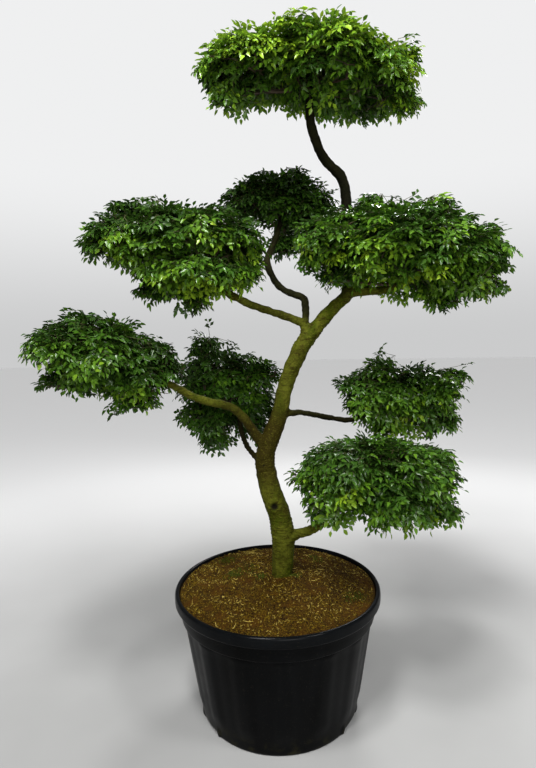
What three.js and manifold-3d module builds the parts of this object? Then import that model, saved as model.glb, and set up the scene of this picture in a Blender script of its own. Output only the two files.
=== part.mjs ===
import * as THREE from "three";
import { ConvexGeometry } from "three/addons/geometries/ConvexGeometry.js";
import Module from "manifold-3d";

const wasm = await Module();
wasm.setup();

// All sizes are in millimetres. The origin is the middle of the pot's underside,
// +Z is up and the front of the tree faces -Y.

// The space left between parts, and the wider one that is left round the wood
const GAP = 0.4;
const LIMB_ROOM = 0.9;

// The nursery pot: a tapered tub with upright ribs, a band and a wide rolled collar
const POT = {
  height: 454,
  collarRadius: 378,
  collarFoot: 417,
  mouthRadius: 362,
  mouthHeight: 449,
  shoulderRadius: 339,
  bandRadius: 356,
  bandFoot: 362,
  bandFlare: 1,
  lipDrop: 3,
  collarRound: { in: 7, down: 6 },
  wallTopRadius: 343.6,
  footRadius: 287,
  wall: 5,
  floor: 12,
  ribCount: 15,
  ribRaise: 5,
  ribFoot: 54,
  ribRunOut: 9,
  frontRibAngle: -88,
};

// Each rib takes four corners of the ring, up its one side and down the other: degrees
// from its middle and the share of its height
const RIB_CORNERS = [[-6.5, 0], [-4.5, 1], [4.5, 1], [6.5, 0]];

// Long drain notches through the lower edge of the wall, with none at the front
const NOTCH = { count: 3, firstAngle: 90, width: 100, height: 14, depth: 34 };

// Potting soil and the blanket of mulch over it; both rise towards the trunk
const SOIL = { edgeHeight: 429, moundHeight: 462, moundShare: 0.4 };
const MULCH = { edgeHeight: 445, moundHeight: 484, roughness: 7, rings: 4, seed: 11 };

// Each limb is a row of stations: x, y, z of its middle and its radius there. It ends in
// a short point, whose length is a share of that radius.
const LIMB_POINT = { start: 0.3, end: 0.5 };
const TRUNK_SIDES = 10;
const TRUNK = [
  [16, 26, 330, 34], [18, 25, 420, 39], [19, 24, 474, 38], [25, 20, 560, 40], [26, 17, 625, 42],
  [15, 12, 702, 40], [-2, 9, 757, 39], [-22, 6, 822, 37.5], [-35, 3, 900, 34.5], [-29, 3, 960, 33.5],
  [-4, 3, 1022, 31.5], [24, 3, 1095, 28.5], [39, 0, 1171, 27], [63, -2, 1240, 27.8],
  [77, -2, 1272, 28.2], [106, -1, 1331, 29], [130, 0, 1363, 28.5], [153, 0, 1390, 26],
  [177, 1, 1419, 23.5], [201, 2, 1445, 22.5], [232, 4, 1476, 21], [265, 6, 1505, 20],
  [285, 8, 1532, 18.5],
];
const LIMBS = {
  leader: {
    sides: 8,
    stations: [
      [266, 6, 1520, 18], [287, 9, 1545, 18], [295, 13, 1585, 17.5], [291, 20, 1650, 17],
      [279, 30, 1765, 16.5], [277, 34, 1850, 17], [271, 36, 1905, 17], [255, 37, 1945, 17],
      [228, 37, 1970, 16], [200, 36, 2002, 15.8], [174, 34, 2052, 15.4], [154, 28, 2115, 15.2],
      [148, 20, 2175, 14], [155, 10, 2235, 12],
    ],
  },
  rightStub: {
    sides: 7,
    stations: [
      [262, 7, 1512, 16], [305, 6, 1522, 15], [350, 0, 1524, 14], [400, -9, 1526, 12],
      [447, -18, 1545, 10.5],
    ],
  },
  leftLimb: {
    sides: 7,
    stations: [
      [112, -1, 1351, 17], [118, -2, 1383, 15], [114, -4, 1407, 13.8], [98, -5, 1421, 13.4],
      [60, -7, 1437, 13], [13, -11, 1453, 12.6], [-47, -20, 1473, 12.5], [-94, -27, 1493, 12.3],
      [-140, -33, 1516, 12.5], [-184, -39, 1544, 12], [-237, -46, 1584, 10.8],
      [-288, -52, 1626, 9.4],
    ],
  },
  backLimb: {
    sides: 7,
    stations: [
      [117, 4, 1362, 12.6], [121, 10, 1409, 12.2], [123, 20, 1460, 12.2], [123, 34, 1495, 12.2],
      [113, 46, 1512, 12], [89, 60, 1523, 11.8], [53, 80, 1540, 11.8], [29, 96, 1560, 11.8],
      [11, 112, 1588, 11.8], [-12, 136, 1646, 11.6], [-7, 155, 1681, 11.2],
      [10, 178, 1723, 10.5], [27, 205, 1767, 9.9], [43, 240, 1822, 9],
      [56, 268, 1862, 8],
    ],
  },
  backTwig: {
    sides: 5,
    stations: [[-8, 136, 1645, 7], [-40, 140, 1657, 5.6], [-78, 143, 1667, 3.2]],
  },
  lowerLeftLimb: {
    sides: 8,
    stations: [
      [-32, 3, 962, 21], [-58, 0, 999, 17.4], [-89, -10, 1049, 15.3], [-114, -19, 1084, 14.7],
      [-150, -30, 1119, 14.2], [-192, -40, 1133, 13.2], [-240, -51, 1146, 13], [-293, -62, 1169, 12.3],
      [-351, -75, 1204, 10.8], [-410, -84, 1236, 9.3],
    ],
  },
  lowerBackLimb: {
    sides: 6,
    stations: [
      [-42, 4, 906, 11], [-70, 22, 927, 9.3], [-100, 43, 960, 8.8], [-123, 75, 1007, 8.8],
      [-130, 110, 1058, 8.7], [-131, 160, 1117, 8.2], [-140, 195, 1150, 7.6],
    ],
  },
  rightUpperLimb: {
    sides: 6,
    stations: [
      [26, 2, 1087, 12.8], [59, 8, 1089, 11.2], [110, 29, 1086, 9.6], [184, 66, 1066, 9.4],
      [240, 90, 1052, 9.2], [290, 107, 1044, 8.8], [345, 120, 1055, 8.2],
      [398, 131, 1084, 7.4],
    ],
  },
  rightLowerLimb: {
    sides: 8,
    stations: [
      [26, 16, 603, 25], [51, 10, 620, 20.6], [79, -4, 637, 17.4], [122, -26, 660, 15.8],
      [154, -47, 687, 15.2], [186, -65, 730, 13.4], [218, -80, 775, 11],
    ],
  },
};

// Clipped foliage pads. A lump is x, y, z of its middle, its half width, its half
// depth, and how far it reaches up and down from the middle.
const PADS = [
  {
    name: "foliage_top", seed: 101,
    lumps: [
      [-71, -30, 2261, 162, 200, 117, 68], [130, 20, 2308, 243, 290, 70, 95],
      [365, 10, 2211, 160, 230, 135, 61], [225, -40, 2252, 218, 250, 87, 115],
    ],
  },
  {
    name: "foliage_left", seed: 202,
    lumps: [
      [-485, -70, 1700, 146, 165, 117, 83], [-358, -40, 1684, 192, 240, 146, 138],
      [-206, -60, 1673, 198, 190, 146, 76], [-252, -75, 1568, 190, 210, 100, 74],
    ],
  },
  {
    name: "foliage_centre_back", seed: 303, leafSize: 0.85,
    lumps: [
      [-34, 290, 1896, 159, 150, 117, 65], [155, 310, 1841, 102, 170, 102, 73],
      [73, 300, 1900, 200, 155, 131, 112],
    ],
  },
  {
    name: "foliage_right", seed: 404,
    lumps: [
      [288, -20, 1697, 208, 185, 127, 118], [446, -55, 1649, 280, 280, 158, 150],
      [643, -45, 1603, 184, 220, 166, 147], [515, -75, 1595, 120, 220, 76, 122],
    ],
  },
  {
    name: "foliage_lower_left", seed: 505,
    lumps: [
      [-685, -110, 1335, 153, 175, 120, 77], [-592, -90, 1300, 193, 215, 148, 122],
      [-452, -80, 1229, 123, 140, 125, 93],
    ],
  },
  {
    name: "foliage_lower_back", seed: 606, leafSize: 0.85,
    lumps: [
      [-205, 232, 1171, 196, 150, 158, 134], [-70, 250, 1080, 103, 155, 84, 158],
      [-252, 240, 1058, 126, 115, 119, 97],
    ],
  },
  {
    name: "foliage_right_upper", seed: 707, leafSize: 0.9,
    lumps: [
      [426, 135, 1125, 158, 150, 144, 146], [573, 165, 1108, 147, 165, 146, 168],
      [641, 145, 1138, 94, 150, 98, 88],
    ],
  },
  {
    name: "foliage_right_lower", seed: 808,
    lumps: [
      [196, -95, 863, 118, 175, 129, 158], [386, -130, 839, 166, 225, 180, 154],
      [515, -110, 857, 118, 175, 123, 147], [275, -150, 908, 165, 170, 117, 132],
    ],
  },
];

// The dense inside of a pad: how far it fills each lump, and its corners in each
const CORE = { share: 0.66, corners: 18, roughness: 0.06 };

// A sprig is a ridged rib with a pair of pointed leaves and a third at its end, all cut
// to the rib. Places along it and across it are shares of its length.
const SPRIG = {
  length: 165,
  lengthSpread: 0.18,
  ribHalfWidth: 0.02,
  ridge: 0.04,
  fork: 0.4,
  pairShoulder: [0.13, 0.24],
  pairTip: [0.58, 0.42],
  endShoulder: [0.66, 0.19],
  arch: 0.04,
  fold: 0.2,
  mostTriangles: 60,
};

// A single leaf, folded along its middle, as shares of its length
const LEAF = { length: 112, widestAt: 0.42, halfWidth: 0.3, fold: 0.3, mostTriangles: 22 };

// How sprigs and leaves sit on a pad: roots in its core, tips out on its outline.
// Tilts are degrees out from the core and turns are radians about the outward way.
const SEAT = {
  areaEach: 9400,
  sprigEvery: 3,
  rootDepth: 8,
  rayStep: 0.02,
  tilts: [20, 24, 28, 32, 36, 42, 50, 60],
  turns: [0, 0.35, -0.35, 0.7, -0.7],
  reach: 1.0,
  mostReach: 1.1,
  shorten: 0.92,
  shortest: 0.55,
  sag: 0.5,
  jitter: 0.25,
  limbSpace: 30,
  otherPads: 1.1,
  hiddenShare: 0.94,
  testShares: [0.3, 0.55, 0.8, 1.05],
};

const FINISHES = {
  pot: { color: 0x1b1c1e, roughness: 0.45 },
  soil: { color: 0x3a2a1a, roughness: 0.95 },
  mulch: { color: 0x7a5a22, roughness: 0.95 },
  bark: { color: 0x6a6a24, roughness: 0.85 },
  leaf: { color: 0x3f7a22, roughness: 0.6 },
};

// Repeatable draws between 0 and 1
function drawer(seed) {
  let state = seed;
  return () => {
    state = (state + 0x6d2b79f5) | 0;
    let bits = Math.imul(state ^ (state >>> 15), 1 | state);
    bits = (bits + Math.imul(bits ^ (bits >>> 7), 61 | bits)) ^ bits;
    return ((bits ^ (bits >>> 14)) >>> 0) / 4294967296;
  };
}

// A solid from a list of points and a list of triangles
function solidFrom(points, triangles) {
  return new wasm.Manifold(new wasm.Mesh({
    numProp: 3,
    vertProperties: Float32Array.from(points.flatMap((p) => [p.x, p.y, p.z])),
    triVerts: Uint32Array.from(triangles.flat()),
  }));
}

// A solid skinned over rings of points that all have the same count, each running
// anticlockwise about the way from the first ring to the last. A point closes each end.
function skin(rings, firstPoint, lastPoint) {
  const count = rings[0].length;
  const points = [...rings.flat(), firstPoint, lastPoint];
  const first = points.length - 2;
  const last = points.length - 1;
  const triangles = [];
  for (let k = 0; k < count; k += 1) {
    const next = (k + 1) % count;
    triangles.push([first, next, k]);
    for (let ring = 0; ring < rings.length - 1; ring += 1) {
      const low = ring * count;
      const high = low + count;
      triangles.push([low + k, low + next, high + next], [low + k, high + next, high + k]);
    }
    const end = (rings.length - 1) * count;
    triangles.push([end + k, end + next, last]);
  }
  return solidFrom(points, triangles);
}

// A solid from a three.js geometry whose equal corners are first made one
function solidFromGeometry(geometry) {
  const position = geometry.getAttribute("position");
  const points = [];
  const known = new Map();
  const corners = [];
  const order = geometry.index ? Array.from(geometry.index.array) : [...Array(position.count).keys()];
  for (const k of order) {
    const point = new THREE.Vector3().fromBufferAttribute(position, k);
    const key = point.toArray().map((value) => Math.round(value * 1000)).join(" ");
    if (!known.has(key)) {
      known.set(key, points.length);
      points.push(point);
    }
    corners.push(known.get(key));
  }
  const triangles = [];
  for (let k = 0; k < corners.length; k += 3) {
    triangles.push([corners[k], corners[k + 1], corners[k + 2]]);
  }
  return solidFrom(points, triangles);
}

function polar(radius, degrees, z) {
  const angle = THREE.MathUtils.degToRad(degrees);
  return new THREE.Vector3(radius * Math.cos(angle), radius * Math.sin(angle), z);
}

function potRing(radius, z, raise) {
  const ring = [];
  for (let rib = 0; rib < POT.ribCount; rib += 1) {
    for (const [offset, share] of RIB_CORNERS) {
      const angle = POT.frontRibAngle + (360 / POT.ribCount) * rib + offset;
      ring.push(polar(radius + raise * share, angle, z));
    }
  }
  return ring;
}

function wallRadius(z) {
  return POT.footRadius + (POT.wallTopRadius - POT.footRadius) * (z / POT.bandFoot);
}

function makePot() {
  const ribEnd = POT.ribFoot + POT.ribRunOut;
  const outside = [
    potRing(POT.footRadius, 0, 0),
    potRing(wallRadius(POT.ribFoot), POT.ribFoot, 0),
    potRing(wallRadius(ribEnd), ribEnd, POT.ribRaise),
    potRing(POT.wallTopRadius, POT.bandFoot - POT.lipDrop, POT.ribRaise),
    potRing(POT.bandRadius, POT.bandFoot, 0),
    potRing(POT.bandRadius + POT.bandFlare, POT.collarFoot - POT.lipDrop, 0),
    potRing(POT.collarRadius, POT.collarFoot, 0),
    potRing(POT.collarRadius, POT.height - POT.collarRound.down, 0),
    potRing(POT.collarRadius - POT.collarRound.in, POT.height, 0),
  ];
  const inside = [
    potRing(POT.mouthRadius, POT.mouthHeight, 0),
    potRing(POT.shoulderRadius, POT.bandFoot, 0),
    potRing(POT.footRadius - POT.wall, POT.floor, 0),
  ];
  const middle = new THREE.Vector3(0, 0, 0);
  const pot = skin([...outside, ...inside], middle, new THREE.Vector3(0, 0, POT.floor));
  return cutNotches(pot);
}

function cutNotches(pot) {
  let cut = pot;
  for (let k = 0; k < NOTCH.count; k += 1) {
    const angle = THREE.MathUtils.degToRad(NOTCH.firstAngle + (360 / NOTCH.count) * k);
    const block = new THREE.BoxGeometry(NOTCH.depth, NOTCH.width, NOTCH.height * 2);
    block.translate(POT.footRadius, 0, 0);
    block.rotateZ(angle);
    cut = cut.subtract(solidFromGeometry(block));
  }
  return cut;
}

function insideRadius(z) {
  const foot = POT.footRadius - POT.wall;
  if (z < POT.bandFoot) {
    const share = (z - POT.floor) / (POT.bandFoot - POT.floor);
    return foot + (POT.shoulderRadius - foot) * share;
  }
  const share = (z - POT.bandFoot) / (POT.mouthHeight - POT.bandFoot);
  return POT.shoulderRadius + (POT.mouthRadius - POT.shoulderRadius) * share;
}

// A ring at a share of the way out to the pot's inner wall, at every second corner of it
function fillRing(share, z) {
  return potRing((insideRadius(z) - GAP) * share, z, 0).filter((_, k) => k % 2 === 0);
}

function makeSoil(trunkRoom) {
  const rings = [
    fillRing(1, POT.floor + GAP),
    fillRing(1, POT.bandFoot),
    fillRing(1, SOIL.edgeHeight),
    fillRing(SOIL.moundShare, SOIL.moundHeight),
  ];
  const soil = skin(
    rings,
    new THREE.Vector3(0, 0, POT.floor + GAP),
    new THREE.Vector3(0, 0, SOIL.moundHeight),
  );
  return soil.subtract(trunkRoom);
}

// The mulch lies on the soil like a blanket with a rough upper side
function makeMulch(trunkRoom) {
  const draw = drawer(MULCH.seed);
  const under = SOIL.edgeHeight + GAP;
  const rise = SOIL.moundHeight - SOIL.edgeHeight;
  const rings = [
    fillRing(SOIL.moundShare, under + rise),
    fillRing(1, under),
    fillRing(1, MULCH.edgeHeight),
  ];
  for (let k = 1; k < MULCH.rings; k += 1) {
    const share = 1 - k / MULCH.rings;
    const height = MULCH.moundHeight - (MULCH.moundHeight - MULCH.edgeHeight) * share * share;
    const ring = fillRing(share, MULCH.edgeHeight);
    for (const point of ring) {
      point.z = height + (draw() - 0.5) * 2 * MULCH.roughness;
      point.x += (draw() - 0.5) * 2 * MULCH.roughness;
      point.y += (draw() - 0.5) * 2 * MULCH.roughness;
    }
    rings.push(ring);
  }
  const mulch = skin(
    rings,
    new THREE.Vector3(0, 0, under + rise),
    new THREE.Vector3(0, 0, MULCH.moundHeight),
  );
  return mulch.subtract(trunkRoom);
}

// A round limb through its stations, wider all over by grow
function sweepLimb(stations, sides, grow) {
  const middles = stations.map(([x, y, z]) => new THREE.Vector3(x, y, z));
  const headings = middles.map((_, k) => {
    const before = middles[Math.max(k - 1, 0)];
    const after = middles[Math.min(k + 1, middles.length - 1)];
    return after.clone().sub(before).normalize();
  });
  const side = new THREE.Vector3(0, 1, 0);
  const rings = middles.map((middle, k) => {
    side.addScaledVector(headings[k], -side.dot(headings[k])).normalize();
    const across = headings[k].clone().cross(side);
    const radius = stations[k][3] + grow;
    return [...Array(sides).keys()].map((corner) => {
      const angle = (Math.PI * 2 * corner) / sides;
      return middle.clone()
        .addScaledVector(side, radius * Math.cos(angle))
        .addScaledVector(across, radius * Math.sin(angle));
    });
  });
  const last = middles.length - 1;
  const before = stations[0][3] * LIMB_POINT.start + grow;
  const beyond = stations[last][3] * LIMB_POINT.end + grow;
  const start = middles[0].clone().addScaledVector(headings[0], -before);
  const end = middles[last].clone().addScaledVector(headings[last], beyond);
  return skin(rings, start, end);
}

// Trunk and limbs as one grown piece of wood
function makeWood(grow) {
  let wood = sweepLimb(TRUNK, TRUNK_SIDES, grow);
  for (const limb of Object.values(LIMBS)) {
    wood = wood.add(sweepLimb(limb.stations, limb.sides, grow));
  }
  return wood;
}

// The point of a lump in a direction, at a share of its full size
function lumpPoint(lump, direction, share) {
  const [x, y, z, width, depth, up, down] = lump;
  const rise = direction.z > 0 ? up : down;
  return new THREE.Vector3(
    x + direction.x * width * share,
    y + direction.y * depth * share,
    z + direction.z * rise * share,
  );
}

function lumpNormal(lump, direction) {
  const [, , , width, depth, up, down] = lump;
  const rise = direction.z > 0 ? up : down;
  return new THREE.Vector3(direction.x / width, direction.y / depth, direction.z / rise).normalize();
}

// The outside of a whole lump in square millimetres, near enough
function lumpArea([, , , width, depth, up, down]) {
  const rise = (up + down) / 2;
  return (4 * Math.PI / 3) * (width * depth + width * rise + depth * rise);
}

function isInLump(lump, point, share) {
  const [x, y, z, width, depth, up, down] = lump;
  const rise = point.z > z ? up : down;
  return Math.hypot((point.x - x) / width, (point.y - y) / depth, (point.z - z) / rise) < share;
}

// The core is one faceted body round all the lumps of a pad, drawn in a little
function makeCoreGeometry(lumps, draw) {
  const corners = lumps.flatMap((lump) => spreadDirections(CORE.corners).map((direction) => {
    const share = CORE.share * (1 + (draw() - 0.5) * 2 * CORE.roughness);
    return lumpPoint(lump, direction, share);
  }));
  return new ConvexGeometry(corners);
}

// The flat sides of the core, each as a plane that faces out
function corePlanes(geometry) {
  const position = geometry.getAttribute("position");
  const planes = [];
  for (let k = 0; k < position.count; k += 3) {
    const corners = [0, 1, 2].map((n) => new THREE.Vector3().fromBufferAttribute(position, k + n));
    planes.push(new THREE.Plane().setFromCoplanarPoints(...corners));
  }
  return planes;
}

function isInCore(planes, point, depth) {
  return planes.every((plane) => plane.distanceToPoint(point) < -depth);
}

// One sprig in its own frame: u runs along the rib, v across it and w out of it, all
// in shares of its length. The rib's ridge makes the leaves thick in the middle.
function makeSprigPattern() {
  const points = [];
  const triangles = [];
  const place = (u, v, w = 0) => points.push([u, v, w]) - 1;
  const fan = (side, hub, rim) => {
    for (let k = 0; k < rim.length - 1; k += 1) {
      triangles.push(side > 0 ? [hub, rim[k], rim[k + 1]] : [hub, rim[k + 1], rim[k]]);
    }
  };
  const both = (u, v) => ({ 1: place(u, v), "-1": place(u, -v) });
  const rootRidge = place(0, 0, SPRIG.ridge);
  const root = both(0, SPRIG.ribHalfWidth);
  const forkRidge = place(SPRIG.fork, 0, SPRIG.ridge);
  const fork = both(SPRIG.fork, SPRIG.ribHalfWidth);
  const pairShoulder = both(...SPRIG.pairShoulder);
  const pairTip = both(...SPRIG.pairTip);
  const endShoulder = both(...SPRIG.endShoulder);
  const end = place(1, 0);
  triangles.push([rootRidge, root[1], root[-1]]);
  fan(1, root[1], [fork[1], fork[-1], root[-1]]);
  fan(1, fork[1], [endShoulder[1], end, endShoulder[-1], fork[-1]]);
  for (const side of [1, -1]) {
    const leaf = [fork[side], pairTip[side], pairShoulder[side]];
    fan(side, rootRidge, [forkRidge, ...leaf, root[side]]);
    fan(-side, root[side], leaf);
    fan(side, forkRidge, [end, endShoulder[side], fork[side]]);
  }
  return { points, triangles };
}

function makeLeafPattern() {
  const points = [
    [0, 0, 0],
    [1, 0, 0],
    [LEAF.widestAt, LEAF.halfWidth, 0],
    [LEAF.widestAt, -LEAF.halfWidth, 0],
  ];
  return { points, triangles: [[0, 1, 2], [0, 3, 1], [0, 2, 3], [1, 3, 2]] };
}

const PATTERNS = {
  sprig: { ...makeSprigPattern(), ...SPRIG },
  leaf: { ...makeLeafPattern(), ...LEAF, lengthSpread: SPRIG.lengthSpread, arch: 0 },
};

// A sprig or leaf from its root to its tip; it lies across the outward way
function makeGrowth(pattern, { root, tip, normal }) {
  const along = tip.clone().sub(root);
  const length = along.length();
  along.normalize();
  const lift = normal.clone().addScaledVector(along, -normal.dot(along)).normalize();
  const across = lift.clone().cross(along);
  const points = pattern.points.map(([u, v, w]) => {
    const arch = 4 * pattern.arch * u * (1 - u) - pattern.fold * Math.abs(v);
    return root.clone()
      .addScaledVector(along, u * length)
      .addScaledVector(across, v * length)
      .addScaledVector(lift, (w + arch) * length);
  });
  return solidFrom(points, pattern.triangles);
}

// Directions spread evenly over a ball
function spreadDirections(count) {
  const turn = Math.PI * (3 - Math.sqrt(5));
  return [...Array(count).keys()].map((k) => {
    const z = 1 - (2 * k + 1) / count;
    const radius = Math.sqrt(1 - z * z);
    return new THREE.Vector3(radius * Math.cos(turn * k), radius * Math.sin(turn * k), z);
  });
}

function padMiddle(lumps) {
  const middle = new THREE.Vector3();
  for (const [x, y, z] of lumps) middle.add(new THREE.Vector3(x, y, z));
  return middle.divideScalar(lumps.length);
}

// Sprigs point away from the pad's middle and hang over at its rim
function shingleWay(point, normal, middle, draw) {
  const way = new THREE.Vector3(point.x - middle.x, point.y - middle.y, 0).normalize();
  way.z -= SEAT.sag;
  way.x += (draw() - 0.5) * 2 * SEAT.jitter;
  way.y += (draw() - 0.5) * 2 * SEAT.jitter;
  return way.addScaledVector(normal, -way.dot(normal)).normalize();
}

function isInPad(lumps, point, share) {
  return lumps.some((lump) => isInLump(lump, point, share));
}

// The root of a sprig, on the way in from a lump's outside to just below the core's
function findRoot(lump, direction, planes) {
  for (let share = 1; share > 0; share -= SEAT.rayStep) {
    const point = lumpPoint(lump, direction, share);
    if (isInCore(planes, point, SEAT.rootDepth)) return point;
  }
  return null;
}

// A sprig stands up from the core no more than its tip needs to reach the outline,
// and is shorter where its tip would stick out too far
function seatSprig(lump, direction, pattern, pad, draw) {
  const normal = lumpNormal(lump, direction);
  const way = shingleWay(lumpPoint(lump, direction, 1), normal, pad.middle, draw);
  const spread = 1 + (draw() - 0.5) * 2 * pattern.lengthSpread;
  const length = pattern.length * pad.leafSize * spread;
  const root = findRoot(lump, direction, pad.planes);
  if (!root) return null;
  const tipAt = (tilt, reach) => {
    const angle = THREE.MathUtils.degToRad(tilt);
    return root.clone()
      .addScaledVector(way, reach * Math.cos(angle))
      .addScaledVector(normal, reach * Math.sin(angle));
  };
  const reachesOut = (tilt) => !isInPad(pad.lumps, tipAt(tilt, length), SEAT.reach);
  const tilt = SEAT.tilts.find(reachesOut) ?? SEAT.tilts[SEAT.tilts.length - 1];
  let share = 1;
  while (share > SEAT.shortest && !isInPad(pad.lumps, tipAt(tilt, length * share), SEAT.mostReach)) {
    share *= SEAT.shorten;
  }
  return { root, tip: tipAt(tilt, length * share), normal };
}

const LIMB_LINES = [TRUNK, ...Object.values(LIMBS).map((limb) => limb.stations)]
  .flatMap((stations) => stations.slice(1).map((station, k) => ({
    line: new THREE.Line3(
      new THREE.Vector3(...stations[k].slice(0, 3)),
      new THREE.Vector3(...station.slice(0, 3)),
    ),
    radius: stations[k][3],
  })));

function distanceToLimbs(point) {
  const closest = new THREE.Vector3();
  return Math.min(...LIMB_LINES.map(({ line, radius }) => {
    line.closestPointToPoint(point, true, closest);
    return closest.distanceTo(point) - radius;
  }));
}

// A sprig is left out where it would meet a limb or another pad
function isFree({ root, tip }, others) {
  return SEAT.testShares.every((share) => {
    const point = root.clone().lerp(tip, share);
    return distanceToLimbs(point) > SEAT.limbSpace * share
      && !isInPad(others, point, SEAT.otherPads);
  });
}

// Seats spread evenly over the outside of a pad, with sprigs before single leaves
function findSeats(pad, draw) {
  const seats = [];
  for (const lump of pad.lumps) {
    const rest = pad.lumps.filter((other) => other !== lump);
    const count = Math.round(lumpArea(lump) / (SEAT.areaEach * pad.leafSize ** 2));
    for (const direction of spreadDirections(count)) {
      if (isInPad(rest, lumpPoint(lump, direction, 1), SEAT.hiddenShare)) continue;
      const pattern = seats.length % SEAT.sprigEvery === 0 ? PATTERNS.sprig : PATTERNS.leaf;
      const seat = seatSprig(lump, direction, pattern, pad, draw);
      if (seat) seats.push({ ...seat, pattern });
    }
  }
  const isSprig = (seat) => seat.pattern === PATTERNS.sprig;
  return [...seats.filter(isSprig), ...seats.filter((seat) => !isSprig(seat))];
}

function turned(seat, turn) {
  const reach = seat.tip.clone().sub(seat.root).applyAxisAngle(seat.normal, turn);
  return { ...seat, tip: reach.add(seat.root) };
}

// Adds one sprig, turned so that it crosses as little as it can, or leaves it out
function addGrowth(foliage, seat, others) {
  const choices = SEAT.turns
    .map((turn) => turned(seat, turn))
    .filter((choice) => isFree(choice, others))
    .map((choice) => foliage.add(makeGrowth(seat.pattern, choice)))
    .sort((one, other) => one.numTri() - other.numTri());
  const least = choices[0];
  if (!least || least.numTri() - foliage.numTri() > seat.pattern.mostTriangles) return foliage;
  return least;
}

function makePad({ name, seed, lumps, leafSize = 1 }, limbRoom) {
  const draw = drawer(seed);
  const core = makeCoreGeometry(lumps, draw);
  const pad = { lumps, leafSize, middle: padMiddle(lumps), planes: corePlanes(core) };
  const others = PADS.filter((other) => other.name !== name).flatMap((other) => other.lumps);
  let foliage = solidFromGeometry(core);
  for (const seat of findSeats(pad, draw)) foliage = addGrowth(foliage, seat, others);
  return largestPiece(foliage.subtract(limbRoom));
}

function largestPiece(solid) {
  return solid.decompose().reduce((best, piece) => (piece.volume() > best.volume() ? piece : best));
}

// A named mesh for a finished solid
function meshOf(name, solid, finish) {
  const { vertProperties, triVerts } = solid.getMesh();
  const geometry = new THREE.BufferGeometry();
  geometry.setAttribute("position", new THREE.BufferAttribute(vertProperties, 3));
  geometry.setIndex(new THREE.BufferAttribute(triVerts, 1));
  geometry.computeVertexNormals();
  const mesh = new THREE.Mesh(geometry, new THREE.MeshStandardMaterial(finish));
  mesh.name = name;
  return mesh;
}

function buildTree() {
  const tree = new THREE.Group();
  tree.name = "pad_pruned_elm";
  const room = makeWood(LIMB_ROOM);
  tree.add(meshOf("pot", makePot(), FINISHES.pot));
  tree.add(meshOf("soil", makeSoil(room), FINISHES.soil));
  tree.add(meshOf("mulch", makeMulch(room), FINISHES.mulch));
  tree.add(meshOf("trunk_and_limbs", makeWood(0), FINISHES.bark));
  for (const pad of PADS) tree.add(meshOf(pad.name, makePad(pad, room), FINISHES.leaf));
  return tree;
}

export default buildTree();
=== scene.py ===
"""A pad-pruned elm in a black nursery tub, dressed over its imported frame.

Everything is in metres in the frame's own axes: +Z is up, the front of the tree faces -Y
and the origin is the middle of the tub's underside.
"""

import logging
import math
from dataclasses import dataclass, field
from enum import Enum

import bpy
import numpy as np
from mathutils import Matrix

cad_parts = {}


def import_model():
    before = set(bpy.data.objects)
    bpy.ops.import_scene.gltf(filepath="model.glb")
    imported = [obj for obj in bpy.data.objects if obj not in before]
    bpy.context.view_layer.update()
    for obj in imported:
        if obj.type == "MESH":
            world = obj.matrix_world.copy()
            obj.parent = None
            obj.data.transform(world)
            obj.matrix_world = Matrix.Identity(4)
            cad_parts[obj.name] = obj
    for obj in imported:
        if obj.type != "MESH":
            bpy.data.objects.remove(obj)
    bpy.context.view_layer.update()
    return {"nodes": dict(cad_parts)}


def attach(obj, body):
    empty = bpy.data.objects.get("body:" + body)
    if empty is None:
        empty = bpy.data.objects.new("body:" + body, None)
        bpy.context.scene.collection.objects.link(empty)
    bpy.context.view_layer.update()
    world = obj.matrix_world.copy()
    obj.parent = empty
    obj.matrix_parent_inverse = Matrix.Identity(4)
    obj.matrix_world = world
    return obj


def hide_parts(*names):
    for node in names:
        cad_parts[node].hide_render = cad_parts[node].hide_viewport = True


LOG = logging.getLogger("elm")
ROOT = "root"
BAKE_MAP = "OFBake"
LEAF_MAP = "leaf"
TONE_MAP = "tone"
DOWN = np.array([0.0, 0.0, -1.0])
UP = -DOWN

Array = np.ndarray
Colour = tuple[float, float, float]
Material = bpy.types.Material
Piece = bpy.types.Object
Point = tuple[float, float, float]
Socket = bpy.types.NodeSocket


# Numbers and vectors


def unit(vectors: Array) -> Array:
    """Scales each vector to a length of one."""
    return vectors / np.maximum(np.linalg.norm(vectors, axis=-1, keepdims=True), 1e-9)


def square_to(vectors: Array, axes: Array) -> Array:
    """Turns each vector square to its axis and scales it to one.

    Args:
        vectors: The vectors to turn.
        axes: An axis of length one for each.

    Returns:
        The squared vectors.
    """
    along = np.sum(vectors * axes, axis=-1, keepdims=True)
    return unit(vectors - along * axes)


def eased(values: Array, start: float, end: float) -> Array:
    """Rises smoothly from 0 at start to 1 at end."""
    share = np.clip((values - start) / (end - start), 0.0, 1.0)
    return share * share * (3 - 2 * share)


def spread_directions(count: int) -> Array:
    """Spreads directions evenly over a ball."""
    order = np.arange(count)
    height = 1 - (2 * order + 1) / count
    radius = np.sqrt(1 - height**2)
    turn = order * math.pi * (3 - math.sqrt(5))
    return np.stack([radius * np.cos(turn), radius * np.sin(turn), height], axis=1)


@dataclass
class Swell:
    """Smooth hills and hollows in space, the same on each run."""

    wavelength: float
    seed: int
    waves: int = 9

    def at(self, points: Array) -> Array:
        """Reads the swell.

        Args:
            points: Places in space, one row each.

        Returns:
            Values mostly between -1 and 1.
        """
        draw = np.random.default_rng(self.seed)
        ways = unit(draw.normal(size=(self.waves, 3)))
        lengths = self.wavelength * draw.uniform(0.6, 1.7, self.waves)
        starts = draw.uniform(0, 2 * math.pi, self.waves)
        phase = points @ (ways * (2 * math.pi / lengths)[:, None]).T + starts
        return np.sin(phase).sum(axis=-1) / math.sqrt(self.waves)


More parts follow.
